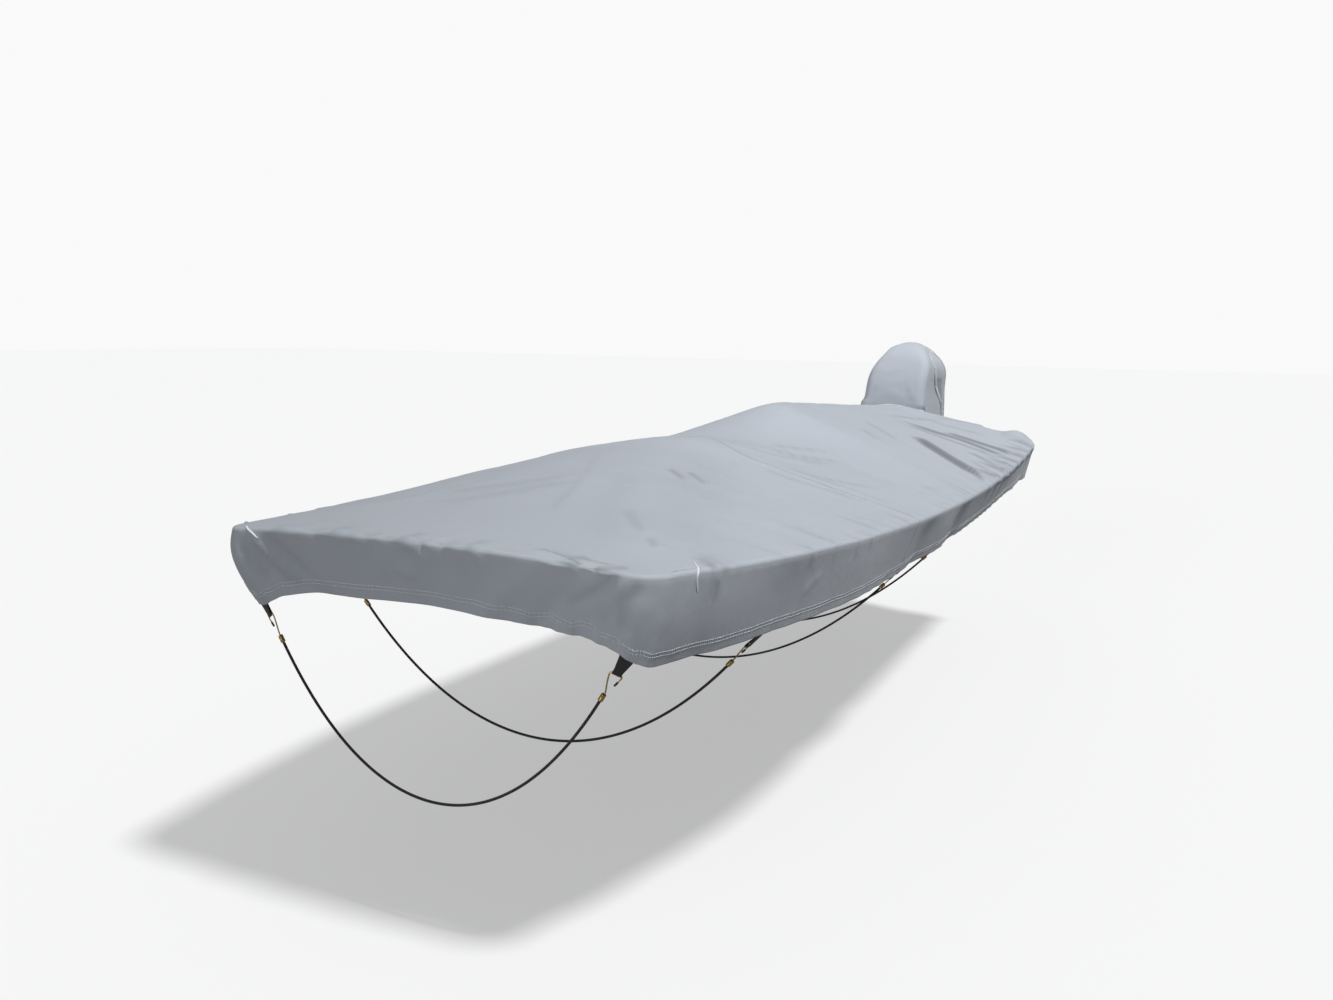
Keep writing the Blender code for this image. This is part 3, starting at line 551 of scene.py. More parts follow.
DOWN = np.array([0.0, 0.0, -1.0])
skirt_rings = [rim_places]
skirt_lengths = [np.zeros(len(loop))]
for edge_turn in EDGE_TURNS:
    ring = rim_places + outward * EDGE_RADIUS * math.sin(edge_turn)
    skirt_rings.append(ring + DOWN * EDGE_RADIUS * (1 - math.cos(edge_turn)))
    skirt_lengths.append(np.full(len(loop), EDGE_RADIUS * edge_turn))
skirt_start = skirt_rings[-1]
skirt_depth = skirt_start[:, 2] - hem_height
upper_levels = [np.full(len(loop), n / SKIRT_STEPS) * (1 - HEM_LEVELS[0] / skirt_depth)
                for n in range(1, SKIRT_STEPS)]
lower_levels = [1 - above_hem / skirt_depth for above_hem in HEM_LEVELS]
for skirt_level in upper_levels + lower_levels:
    out = hem_bulge * np.sin(math.pi * skirt_level) - hem_tuck * skirt_level
    for fold in FOLDS:
        off = (distance - fold.distance - fold.drift * skirt_level) / fold.width
        swing = np.sin(math.pi * np.minimum(skirt_level, 0.5)) * (FOLD_START + (1 - FOLD_START) * skirt_level)
        out = out + fold.depth * np.exp(-off * off) * swing
    skirt_rings.append(skirt_start + outward * out[:, None] + DOWN * (skirt_depth * skirt_level)[:, None])
    skirt_lengths.append(EDGE_RADIUS * math.pi / 2 + skirt_depth * skirt_level)

ring_count = len(skirt_rings)
top_total = row_count * column_count
cloth_places = np.concatenate([top.reshape(-1, 3)] + skirt_rings[1:])
cloth_flat = np.concatenate([top.reshape(-1, 3)[:, :2]] + [
    rim_places[:, :2] + outward[:, :2] * length[:, None] for length in skirt_lengths[1:]])
above_hem = np.full(len(cloth_places), 1.0)
round_rim = np.full(len(cloth_places), 0.0)
for n in range(1, ring_count):
    on_ring = slice(top_total + (n - 1) * len(loop), top_total + n * len(loop))
    round_rim[on_ring] = distance
    above_hem[on_ring] = cloth_places[on_ring, 2] - hem_height

grid = np.arange(top_total).reshape(row_count, column_count)
bow_faces, stern_faces = [], []
for j in range(last_row):
    strip = np.stack([grid[j, :-1], grid[j, 1:], grid[j + 1, 1:], grid[j + 1, :-1]], axis=1)
    (bow_faces if j < seam_row else stern_faces).append(strip)
ring_points = np.concatenate([[grid[loop[:, 0], loop[:, 1]]],
                              top_total + np.arange((ring_count - 1) * len(loop)).reshape(-1, len(loop))])
for k in range(len(loop)):
    after = (k + 1) % len(loop)
    rows = sorted((loop[k][0], loop[after][0]))
    off_hood = max(abs(rim_places[k][0] - HOOD_ACROSS), abs(rim_places[after][0] - HOOD_ACROSS))
    if rows[0] == last_row and off_hood < HOOD_NOTCH + NOTCH_SLACK:
        continue
    strip = np.stack([ring_points[1:, k], ring_points[1:, after], ring_points[:-1, after],
                      ring_points[:-1, k]], axis=1)
    (bow_faces if rows[1] <= seam_row else stern_faces).append(strip)
bow_faces, stern_faces = np.concatenate(bow_faces), np.concatenate(stern_faces)
cloth_faces = np.concatenate([bow_faces, stern_faces])


def facing(points, faces):
    """Each face's outward direction, as long as twice its area."""
    a, b, c, d = (points[faces[:, i]] for i in range(4))
    return np.cross(c - a, d - b)


def vertex_normals(points, faces):
    """The outward direction at each point."""
    normals, outwards = np.zeros_like(points), facing(points, faces)
    for i in range(4):
        np.add.at(normals, faces[:, i], outwards)
    return unit(normals)


cloth_normals = vertex_normals(cloth_places, cloth_faces)


# Folds and creases, as paths on the cloth: (across, station) on the top, and with a
# height on the skirt. Depth is positive where the cloth stands out. The width is that of
# the left side, seen from outside along the path, and sharp is the right side's share of
# it. Depths and widths are in millimetres. The two fades are shares of the path's length.
Crease = namedtuple("Crease", "depth width sharp fade_in fade_out path")
BOW_WAVES = ((-0.47, 7.0, 34), (-0.36, -8.0, 26), (-0.27, 8.0, 24), (-0.17, -7.0, 20), (-0.03, 8.0, 22),
             (0.07, -8.0, 24), (0.17, 7.0, 24))
CREASES = (
    # The foredeck: a broad ridge drawn from the pole to each bow corner, long soft folds,
    # and the marks of having been folded away.
    Crease(13.0, 110, 1.2, 0.2, 0.15, ((0.06, 1.45), (0.26, 0.90), (0.46, 0.42), (0.60, 0.12))),
    Crease(8.0, 110, 1.0, 0.2, 0.2, ((-0.08, 1.45), (-0.30, 0.90), (-0.50, 0.42), (-0.62, 0.12))),
    Crease(-7.0, 60, 1.0, 0.3, 0.3, ((0.02, 1.10), (0.16, 0.70), (0.34, 0.32), (0.46, 0.10))),
    Crease(7.0, 24, 0.8, 0.3, 0.4, ((-0.44, 0.45), (-0.24, 0.57), (-0.12, 0.72), (-0.06, 0.93))),
    Crease(7.0, 24, 0.8, 0.3, 0.4, ((-0.32, 0.34), (-0.16, 0.46), (-0.06, 0.64), (0.03, 0.84))),
    Crease(6.0, 34, 1.0, 0.3, 0.4, ((-0.52, 0.22), (-0.40, 0.39), (-0.31, 0.62), (-0.21, 0.86))),
    Crease(2.4, 12, 1.0, 0.1, 0.1, ((-0.20, 1.25), (0.00, 0.78), (0.10, 0.49), (0.15, 0.35))),
    Crease(5.0, 22, 0.7, 0.3, 0.2, ((0.29, 0.55), (0.40, 0.41), (0.49, 0.30))),
    Crease(5.0, 13, 0.7, 0.3, 0.3, ((0.50, 0.28), (0.56, 0.22))),
    Crease(6.5, 13, 0.6, 0.3, 0.3, ((0.16, 1.07), (0.22, 1.02), (0.30, 0.95))),
    Crease(6.5, 13, 0.6, 0.3, 0.3, ((0.22, 1.10), (0.28, 1.05), (0.35, 1.00))),
    Crease(4.5, 14, 0.8, 0.4, 0.4, ((0.36, 0.85), (0.45, 0.85))),
    # Round the front pole, and the hollow behind it.
    Crease(4.0, 14, 1.0, 0.3, 0.3, ((-0.09, 1.59), (0.00, 1.58))),
    Crease(9.0, 20, 1.4, 0.2, 0.3, ((0.08, 1.66), (0.20, 1.71), (0.31, 1.80), (0.42, 1.92))),
    Crease(-20.0, 45, 1.0, 0.3, 0.4, ((0.10, 1.78), (0.20, 1.87), (0.31, 1.98), (0.44, 2.10))),
    Crease(7.0, 30, 0.45, 0.3, 0.4, ((0.13, 1.95), (0.24, 2.00), (0.36, 2.08), (0.50, 2.14))),
    Crease(6.0, 28, 0.45, 0.3, 0.4, ((0.10, 2.08), (0.24, 2.13), (0.40, 2.22))),
    Crease(5.0, 14, 0.8, 0.2, 0.3, ((0.32, 1.48), (0.47, 1.47), (0.62, 1.50), (0.77, 1.48))),
    Crease(5.0, 14, 0.8, 0.2, 0.3, ((0.33, 1.64), (0.49, 1.63), (0.67, 1.62), (0.81, 1.64))),
    Crease(5.0, 14, 0.8, 0.3, 0.4, ((0.44, 1.63), (0.56, 1.72), (0.66, 1.87))),
    Crease(4.5, 14, 0.8, 0.3, 0.3, ((0.73, 2.16), (0.79, 2.25))),
    Crease(4.5, 16, 0.8, 0.2, 0.3, ((-0.20, 1.50), (-0.45, 1.44), (-0.75, 1.46))),
    Crease(4.5, 16, 0.8, 0.2, 0.3, ((-0.22, 1.70), (-0.50, 1.76), (-0.80, 1.74))),
    Crease(5.0, 18, 0.8, 0.2, 0.3, ((-0.16, 1.86), (-0.40, 2.06), (-0.72, 2.20))),
    # The bow's port corner, where the cloth is boxed and tucked.
    Crease(11.0, 8, 2.4, 0.3, 0.15, ((0.29, 0.03), (0.37, 0.01), (0.43, -0.01), (0.47, -0.03, 0.092))),
    Crease(-9.0, 30, 1.0, 0.4, 0.4, ((0.36, -0.038, 0.092), (0.46, -0.034, 0.092), (0.56, -0.018, 0.090))),
    Crease(6.0, 7, 2.0, 0.3, 0.2, ((0.40, 0.05), (0.48, 0.02), (0.56, 0.01))),
    Crease(-6.0, 11, 0.8, 0.3, 0.2, ((0.32, 0.05), (0.42, 0.03), (0.50, 0.03), (0.58, 0.04))),
    Crease(7.0, 11, 0.8, 0.2, 0.2, ((0.50, -0.02, 0.090), (0.54, 0.00), (0.57, 0.04))),
    Crease(9.0, 18, 0.5, 0.3, 0.3, ((0.64, 0.255), (0.70, 0.225), (0.735, 0.215, 0.020),
                                    (0.745, 0.21, -0.02))),
    Crease(5.0, 14, 0.8, 0.3, 0.2, ((0.64, 0.29), (0.70, 0.255), (0.73, 0.26, 0.052))),
    # Notches in the bow's edge.
    Crease(-6.0, 10, 1.0, 0.2, 0.2, ((0.01, -0.01), (0.01, -0.045, 0.101), (0.02, -0.050, 0.080))),
    Crease(-6.0, 10, 1.0, 0.2, 0.2, ((-0.10, -0.01), (-0.09, -0.045, 0.103), (-0.08, -0.050, 0.085))),
    Crease(4.0, 22, 1.0, 0.3, 0.3, ((-0.21, 0.00), (-0.21, -0.040, 0.103), (-0.22, -0.045, 0.080))),
    Crease(5.0, 20, 1.0, 0.3, 0.3, ((-0.04, 0.00), (-0.04, -0.045, 0.098), (-0.04, -0.050, 0.075))),
    Crease(-4.0, 22, 1.0, 0.3, 0.7, ((0.20, 0.00), (0.20, -0.045, 0.093), (0.21, -0.040, 0.010))),
    # The bow's edge wavers where the cloth is not drawn tight.
    *(Crease(depth, width, 1.0, 0.3, 0.7, ((across, 0.05), (across, -0.02), (across + 0.01, -0.048, 0.085),
                                           (across + 0.03, -0.040, 0.00)))
      for across, depth, width in BOW_WAVES),
    # The bow skirt.
    Crease(13.0, 16, 0.6, 0.2, 0.2, ((-0.605, -0.025, 0.075), (-0.545, -0.025, 0.030),
                                    (-0.480, -0.015, -0.020), (-0.430, -0.005, -0.060))),
    Crease(-11.0, 15, 0.8, 0.2, 0.2, ((-0.645, -0.020, 0.050), (-0.575, -0.025, -0.015),
                                     (-0.530, -0.010, -0.065))),
    Crease(-10.0, 15, 0.8, 0.2, 0.2, ((-0.540, -0.030, 0.080), (-0.450, -0.020, 0.010),
                                     (-0.385, -0.010, -0.035))),
    Crease(6.0, 14, 0.8, 0.3, 0.3, ((-0.130, -0.045, 0.065), (-0.115, -0.035, 0.035),
                                   (-0.12, -0.025, -0.020))),
    Crease(5.0, 13, 0.8, 0.3, 0.3, ((-0.090, -0.035, 0.035), (-0.015, -0.030, 0.005))),
    Crease(-7.5, 15, 0.7, 0.2, 0.2, ((0.570, -0.005, 0.090), (0.525, -0.025, 0.040), (0.41, -0.015, -0.020))),
    Crease(7.5, 15, 0.7, 0.2, 0.2, ((0.590, -0.010, 0.080), (0.550, -0.020, 0.020), (0.50, -0.005, -0.045))),
    Crease(-7.5, 15, 0.8, 0.2, 0.2, ((0.62, -0.005, 0.070), (0.585, -0.010, -0.010), (0.565, 0.000, -0.080))),
    Crease(-4.0, 26, 1.0, 0.2, 0.2, ((0.12, -0.045, 0.075), (0.155, -0.030, 0.0), (0.175, -0.025, -0.055))),
    Crease(2.0, 13, 0.8, 0.3, 0.3, ((0.635, 0.015, 0.020), (0.62, 0.010, -0.025))),
    Crease(-2.5, 12, 0.8, 0.3, 0.3, ((0.650, 0.095, -0.065), (0.635, 0.065, -0.095))),
    Crease(2.5, 16, 0.8, 0.3, 0.3, ((0.815, 0.76, -0.025), (0.80, 0.71, -0.055), (0.78, 0.665, -0.085))),
    # The after part, drawn from the motor hood's pole to the gunwale: folds that have
    # fallen over toward the bow, so that they are steep on that side.
    Crease(24.0, 48, 0.28, 0.22, 0.26, ((0.42, 3.17), (0.58, 3.085), (0.68, 3.015), (0.80, 2.95),
                                        (0.86, 2.89), (0.885, 2.84, -0.03))),
    Crease(-7.0, 14, 1.0, 0.3, 0.2, ((0.44, 3.125), (0.58, 3.05), (0.68, 2.98), (0.81, 2.925))),
    Crease(13.0, 32, 0.30, 0.35, 0.12, ((0.20, 3.560), (0.42, 3.585), (0.57, 3.675), (0.73, 3.685),
                                        (0.83, 3.67))),
    Crease(7.0, 24, 0.34, 0.35, 0.2, ((0.20, 3.44), (0.40, 3.48), (0.58, 3.56), (0.74, 3.60), (0.83, 3.58))),
    Crease(12.0, 26, 0.32, 0.2, 0.12, ((0.46, 3.73), (0.68, 3.80), (0.83, 3.80))),
    Crease(11.0, 24, 0.50, 0.25, 0.12, ((0.64, 3.44), (0.76, 3.41), (0.83, 3.36), (0.88, 3.28, -0.02))),
    Crease(8.0, 22, 0.60, 0.25, 0.12, ((0.70, 3.25), (0.79, 3.20), (0.85, 3.14), (0.885, 3.08, -0.02))),
    Crease(7.0, 22, 0.60, 0.25, 0.12, ((0.72, 3.58), (0.80, 3.55), (0.85, 3.49), (0.875, 3.43, -0.02))),
    Crease(7.0, 22, 0.50, 0.3, 0.3, ((0.32, 2.74), (0.41, 2.65), (0.48, 2.62))),
    Crease(6.0, 20, 0.50, 0.3, 0.3, ((0.25, 3.00), (0.38, 2.92), (0.50, 2.86))),
    Crease(7.0, 16, 0.8, 0.3, 0.3, ((0.10, 3.58), (0.22, 3.64), (0.38, 4.18))),
    Crease(7.0, 20, 0.6, 0.3, 0.3, ((0.20, 4.00), (0.42, 3.99), (0.70, 4.08))),
    Crease(14.0, 14, 3.0, 0.3, 0.2, ((-0.43, 3.05), (-0.58, 3.01), (-0.70, 2.96), (-0.82, 2.93))),
    Crease(10.0, 14, 2.4, 0.2, 0.2, ((-0.28, 3.47), (-0.45, 3.52), (-0.62, 3.60), (-0.82, 3.62))),
    Crease(10.0, 14, 2.2, 0.2, 0.2, ((-0.50, 3.84), (-0.69, 3.88), (-0.83, 3.86))),
    Crease(6.0, 17, 0.8, 0.3, 0.3, ((-0.12, 3.62), (-0.26, 3.72), (-0.40, 4.15))),
    # Down from the hood's corners to the transom.
    Crease(7.0, 20, 0.8, 0.3, 0.2, ((0.25, 4.15), (0.42, 4.28), (0.56, 4.35), (0.58, 4.395, 0.03))),
    Crease(7.0, 20, 0.8, 0.3, 0.2, ((-0.23, 4.15), (-0.40, 4.27), (-0.52, 4.36), (-0.54, 4.40, 0.03))),
)
MM = 0.001
PATH_STEPS = 10                 # pieces that a crease is drawn in between two of its points
CREASE_REACH = 3                # how many widths off its path a crease is followed
THROUGH_CLOTH = 0.045           # a crease dies out this far off its path, square to the cloth
THROUGH_FADES = 0.6             # and begins to at this share of it
# Painted shade in the folds: the cloth is darkened in a trough's hollow and at the foot of a fold's steep
# side, where shade falls.
FOLD_SHADE_WIDTH = 0.009
FOLD_SHADE_HELD = 0.62
FOLD_SHADE_FOOT = (0.7, 0.3)         # it lies this share of the steep side's width out, and of its own
TROUGH_SPREAD = 0.8             # the share of a trough's width that it fills
HANGING_FOLD_SHADE = 0.25              # how much of the painted shade stays where the cloth hangs
LYING = (0.4, 0.8)              # the normal's upward share, from cloth that hangs to cloth that lies


def on_cloth(point):
    """A crease's point, with the top's height where it gives none."""
    if len(point) == 3:
        return point
    return (*point, float(top_height(point[0], max(point[1], 0.0))))


def smooth_path(points, steps):
    """A smooth curve through points, which starts and ends at the first and last."""
    points = np.array(points, float)
    padded = np.concatenate([[2 * points[0] - points[1]], points, [2 * points[-1] - points[-2]]])
    drawn = []
    for a, b, c, d in zip(padded, padded[1:], padded[2:], padded[3:]):
        for t in np.arange(steps) / steps:
            drawn.append(0.5 * (2 * b + (c - a) * t + (2 * a - 5 * b + 4 * c - d) * t ** 2
                                + (3 * b - a - 3 * c + d) * t ** 3))
    return np.array(drawn + [points[-1]])


def press_crease(crease, places, normals):
    """How far a crease moves each place along the cloth's normal, and how much painted shade
    its hollow, or the foot of its steep side, gets there."""
    path = smooth_path([on_cloth(point) for point in crease.path], PATH_STEPS)
    reach = CREASE_REACH * crease.width * MM * max(1.0, crease.sharp)
    near = np.all((places > path.min(axis=0) - reach) & (places < path.max(axis=0) + reach), axis=1)
    chosen = np.nonzero(near)[0]
    moved, painted_fold_shade = np.zeros(len(places)), np.zeros(len(places))
    if not len(chosen):
        return moved, painted_fold_shade
    starts, spans = path[:-1], np.diff(path, axis=0)
    lengths = np.linalg.norm(spans, axis=1)
    off = places[chosen][:, None] - starts[None]
    share = np.clip((off * spans).sum(axis=2) / lengths ** 2, 0, 1)
    off = off - share[..., None] * spans
    nearest = np.argmin((off * off).sum(axis=2), axis=1)
    rows = np.arange(len(chosen))
    off = off[rows, nearest]
    share = share[rows, nearest]
    normal = normals[chosen]
    through = (off * normal).sum(axis=1)
    right_side = np.cross(unit(spans[nearest]), normal)
    sideways = (off * right_side).sum(axis=1)
    flat_off = np.linalg.norm(off - normal * through[:, None], axis=1)
    width = crease.width * MM * np.where(sideways > 0, crease.sharp, 1.0)
    along = (length_along(path)[nearest] + share * lengths[nearest]) / lengths.sum()
    fade = smoothstep(0, crease.fade_in, along) * smoothstep(0, crease.fade_out, 1 - along)
    fade = fade * (1 - smoothstep(THROUGH_CLOTH * THROUGH_FADES, THROUGH_CLOTH, np.abs(through)))
    moved[chosen] = crease.depth * MM * np.exp(-(flat_off / width) ** 2) * fade
    # The painted shade lies in a trough's hollow, or at the foot of a ridge's steep side.
    if crease.depth < 0:
        foot, spread = 0.0, crease.width * MM * TROUGH_SPREAD
        steepness = min(-crease.depth / crease.width, 1.0)
    else:
        spread = crease.width * MM * min(crease.sharp, 1.0)
        foot = np.sign(1 - crease.sharp) * (spread * FOLD_SHADE_FOOT[0] + FOLD_SHADE_WIDTH * FOLD_SHADE_FOOT[1])
        steepness = crease.depth * MM / spread
    spread = max(spread, FOLD_SHADE_WIDTH)
    beside = np.exp(-((sideways - foot) / spread) ** 2) * (flat_off < CREASE_REACH * spread + abs(foot))
    painted_fold_shade[chosen] = min(steepness * FOLD_SHADE_HELD, 1.0) * beside * fade
    return moved, painted_fold_shade


# Small pleats that the hem's pull draws over the gunwale, unevenly all round, closest
# together aft, with a few deep ones at the port quarter.
PLEAT_SEED = 11
PLEAT_START = 0.30
PLEAT_STOP = 0.12               # short of the stern
PLEAT_GAPS = (0.15, 0.060)      # from the bow to the stern
PLEATS_CLOSE = (1.5, 3.2)       # the stations between which they draw together
GAP_SPREAD = (0.55, 1.45)
PLEAT_INSIDE = (0.05, 0.20)
PLEAT_DOWN = (0.02, 0.07)
PLEAT_DEPTH = (2.0, 5.0)
PLEAT_WIDTH = (14.0, 22.0)
PLEAT_STEEP = 0.5               # its side toward the bow, as a share of the other
PLEAT_LEAN = 0.035
PLEAT_FADES = (0.5, 0.3)
PLEAT_BEND = 0.4                # the share of its way inside the edge where it turns
PLEAT_AT_EDGE = 0.004           # just inside the edge
PLEAT_PAST_EDGE = 0.8           # the share of the edge's turn that it goes round
PLEAT_FOOT = 0.5                # the share of its lean at its foot
DEEP_PLEATS = (3.13, 3.33, 3.53, 3.68, 3.84, 4.01, 4.14)
DEEP_PLEAT = {"depth": 11.0, "width": 24.0, "inside": 0.15, "lean": 0.05, "down": 0.05}


def over_edge(side, station, depth, width, inside, lean, down):
    """A pleat from a way inside the edge, over it and down the skirt."""
    edge = side * float(half_width(side, station))
    foot_height = float(smooth(RIM, station, "height")) - EDGE_RADIUS - down
    steep = PLEAT_STEEP
    if side < 0:
        width, steep = width * PLEAT_STEEP, 1 / PLEAT_STEEP
    return Crease(depth, width, steep, *PLEAT_FADES, (
        (edge - side * inside, station - lean),
        (edge - side * inside * PLEAT_BEND, station - lean * PLEAT_BEND),
        (edge - side * PLEAT_AT_EDGE, station),
        (edge + side * EDGE_RADIUS * PLEAT_PAST_EDGE, station + lean * PLEAT_FOOT, foot_height)))


def side_pleats(side, draw):
    """The small pleats down one side."""
    pleats = []
    station = PLEAT_START
    while station < BOAT_LENGTH - PLEAT_STOP:
        pleats.append(over_edge(side, station, draw.uniform(*PLEAT_DEPTH), draw.uniform(*PLEAT_WIDTH),
                                draw.uniform(*PLEAT_INSIDE), draw.uniform(-PLEAT_LEAN, PLEAT_LEAN),
                                draw.uniform(*PLEAT_DOWN)))
        gap = PLEAT_GAPS[0] + (PLEAT_GAPS[1] - PLEAT_GAPS[0]) * smoothstep(*PLEATS_CLOSE, station)
        station += gap * draw.uniform(*GAP_SPREAD)
    return pleats


# The cloth's own unevenness: broad slack, and streaks of tension from the poles' ridge
# down to the gunwale. Each is drawn at a scale along and across, and a height in mm.
Unevenness = namedtuple("Unevenness", "along across height seed")
UNEVEN = (
    Unevenness(3.2, 2.6, 4.5, 3.1),
    Unevenness(9.0, 1.4, 2.2, 17.7),
    Unevenness(22.0, 3.0, 0.8, 41.3),
)
SKIRT_UNEVEN = 0.25             # the skirt hangs straighter
# Puckers along the hem. The zigzag is how far its stitch rows rise and fall.
Pucker = namedtuple("Pucker", "distance reach wave stand lift zigzag")
PUCKERS = (
    Pucker(0.46, 0.20, 0.090, 5.0, 1.2, 6.0),
    Pucker(0.46, 0.16, 0.037, 1.8, 0.6, 2.0),
    Pucker(-0.60, 0.10, 0.070, 4.0, 1.2, 4.5),
    Pucker(1.90, 0.90, 0.140, 1.6, 0.5, 0.5),
    Pucker(3.60, 1.20, 0.120, 1.8, 0.7, 0.8),
    Pucker(-2.60, 1.60, 0.130, 1.8, 0.6, 0.5),
    Pucker(4.70, 0.60, 0.090, 1.8, 0.8, 0.8),
    Pucker(-4.60, 0.70, 0.090, 1.8, 0.8, 0.8),
)
ZIGZAG_HEIGHT = 0.033           # the stitch rows' height above the hem
ZIGZAG_REACH = 0.018
PUCKER_FADE = 0.032             # puckers die out this far above the hem
PUCKER_WANDER = 1.6             # how far their spacing wanders, and how often
PUCKER_WANDERS = 9.1
FELL_STAND = 0.0009             # the felled seam's thickness above the cloth

pleat_draw = np.random.default_rng(PLEAT_SEED)
every_crease = [*CREASES, *side_pleats(1, pleat_draw), *side_pleats(-1, pleat_draw)]
every_crease += [over_edge(1, station, **DEEP_PLEAT) for station in DEEP_PLEATS]
stand, painted_fold_shade = np.zeros(len(cloth_places)), np.zeros(len(cloth_places))
# The folds' painted shade, kept fainter where the cloth hangs.
fold_shade_kept = HANGING_FOLD_SHADE + (1 - HANGING_FOLD_SHADE) * smoothstep(*LYING, cloth_normals[:, 2])
for crease in every_crease:
    pressed, crease_shade = press_crease(crease, cloth_places, cloth_normals)
    stand += pressed
    painted_fold_shade = np.maximum(painted_fold_shade, crease_shade * fold_shade_kept)
on_skirt = np.where(np.arange(len(cloth_places)) < top_total, 1.0, SKIRT_UNEVEN)
for uneven in UNEVEN:
    stand += on_skirt * MM * uneven.height * np.array([
        noise.noise(Vector((x * uneven.across, y * uneven.along, z * uneven.across + uneven.seed)))
        for x, y, z in cloth_places.tolist()])
for row in range(seam_row - 1, seam_row + 2):
    stand[grid[row]] += FELL_STAND
is_seam_column = np.isin(loop[:, 0], range(seam_row - 1, seam_row + 2))
for n in range(1, ring_count):
    first_point = top_total + (n - 1) * len(loop)
    stand[first_point:first_point + len(loop)][is_seam_column] += FELL_STAND
cloth_places = cloth_places + cloth_normals * stand[:, None]

outward_all = np.concatenate([np.zeros((top_total, 3))] + [outward] * (ring_count - 1))
for pucker in PUCKERS:
    off = (round_rim - pucker.distance) / pucker.reach
    amount = np.exp(-off * off - above_hem / PUCKER_FADE) * MM
    wander = PUCKER_WANDER * np.sin(round_rim * PUCKER_WANDERS + pucker.distance)
    swing = np.sin(2 * math.pi * round_rim / pucker.wave + wander)
    cloth_places += outward_all * (pucker.stand * amount * swing)[:, None]
    turn = np.cos(2 * math.pi * round_rim / pucker.wave + wander)
    in_rows = np.exp(-((above_hem - ZIGZAG_HEIGHT) / ZIGZAG_REACH) ** 2) * np.exp(-off * off) * MM
    cloth_places[:, 2] += (pucker.lift * amount + pucker.zigzag * in_rows) * turn
cloth_normals = vertex_normals(cloth_places, cloth_faces)

CLOTH_DARK = (0.385, 0.418, 0.465)
CLOTH_LIGHT = (0.470, 0.505, 0.555)
CLOTH_PITCH = 0.0008
CLOTH_RELIEF = 0.00025
MOTTLING = (0.55, 0.25, 0.22)   # how much of its tone comes from blotches, dust and threads
SIDE_SHADE_LEAN = (0.9, 0.4)        # painted shade: the cloth is darkened toward starboard and the bow
SIDE_SHADE_START = -1.0
SIDE_SHADE_END = 0.25
SIDE_SHADE_DARKEST = 0.76
FOLD_SHADE_DARKEST = 0.44              # how dark the painted shade in a deep fold leaves the cloth
GATHER_PITCH = 0.013            # the fine gathers that the hem's stitches draw
GATHER_FADES = (0.004, 0.016)   # from full to none, off the stitch rows
GATHER_DRIFT = 9.0


def object_place(tree):
    """Places on the piece itself."""
    return place_node(tree, "ShaderNodeTexCoord").outputs["Object"]


def between(tree, value, low, high, start=0.0, end=1.0):
    """From low to high, as a value goes from start to end."""
    return place_node(tree, "ShaderNodeMapRange", {0: value, 1: start, 2: end, 3: low, 4: high}).outputs[0]


def make_proofed_cloth():
    """Matt grey woven polyester: a fine weave, faint blotches from dust and weather, small
    crumples between the folds, painted shade in them, a painted shade that darkens it toward
    starboard and the bow, and gathers along the hem's stitches."""
    material, tree, shader = new_material("proofed_cloth")
    place = object_place(tree)
    cloth_map, hem_map = (place_node(tree, "ShaderNodeUVMap", uv_map=name).outputs[0]
                          for name in ("laid_flat", "round_hem"))
    threads = woven_threads(tree, cloth_map, CLOTH_PITCH)
    blotches = mottle(tree, place, scale=2.3, detail=6.0)
    dust = mottle(tree, place, scale=34.0, detail=5.0)
    crumple = mottle(tree, place, scale=26.0, detail=3.0)

    shares = [sum_node(tree, "MULTIPLY", *pair) for pair in zip((blotches, dust, threads), MOTTLING)]
    shade = sum_node(tree, "ADD", sum_node(tree, "ADD", *shares[:2]), shares[2])
    # Painted shade, darker toward starboard and the bow.
    where = place_node(tree, "ShaderNodeSeparateXYZ", {0: place})
    leans = [sum_node(tree, "MULTIPLY", where.outputs[axis], lean) for axis, lean in zip("XY", SIDE_SHADE_LEAN)]
    side_shade = between(tree, sum_node(tree, "ADD", *leans), SIDE_SHADE_DARKEST, 1.0, SIDE_SHADE_START, SIDE_SHADE_END)
    # Painted shade in the folds, read from the panels' attribute.
    crease_shade = place_node(tree, "ShaderNodeAttribute", attribute_name="painted_fold_shade").outputs["Fac"]
    tone = sum_node(tree, "MULTIPLY", side_shade, between(tree, crease_shade, 1.0, FOLD_SHADE_DARKEST))
    colour = two_tone(tree, shade, CLOTH_DARK, CLOTH_LIGHT)
    shaded = place_node(tree, "ShaderNodeVectorMath", {0: colour, "Scale": tone}, operation="SCALE")

    hem = place_node(tree, "ShaderNodeSeparateXYZ", {0: hem_map})
    off_rows = sum_node(tree, "ABSOLUTE", sum_node(tree, "SUBTRACT", hem.outputs["Y"], ZIGZAG_HEIGHT))
    turns = sum_node(tree, "ADD", sum_node(tree, "MULTIPLY", hem.outputs["X"], 2 * math.pi / GATHER_PITCH),
                     sum_node(tree, "MULTIPLY", blotches, GATHER_DRIFT))
    gathers = sum_node(tree, "MULTIPLY", sum_node(tree, "SINE", turns),
                       between(tree, off_rows, 1.0, 0.0, *GATHER_FADES))
    relief = bumped(tree, crumple, distance=0.0022, strength=0.6)
    relief = bumped(tree, gathers, distance=0.0007, strength=0.8, under=relief)
    relief = bumped(tree, threads, distance=CLOTH_RELIEF, strength=0.5, under=relief)
    feed(tree, shader, {"Base Color": shaded.outputs[0], "Normal": relief,
                        "Roughness": between(tree, dust, 0.78, 0.92),
                        "Sheen Weight": 0.12, "Specular IOR Level": 0.3})
    return material


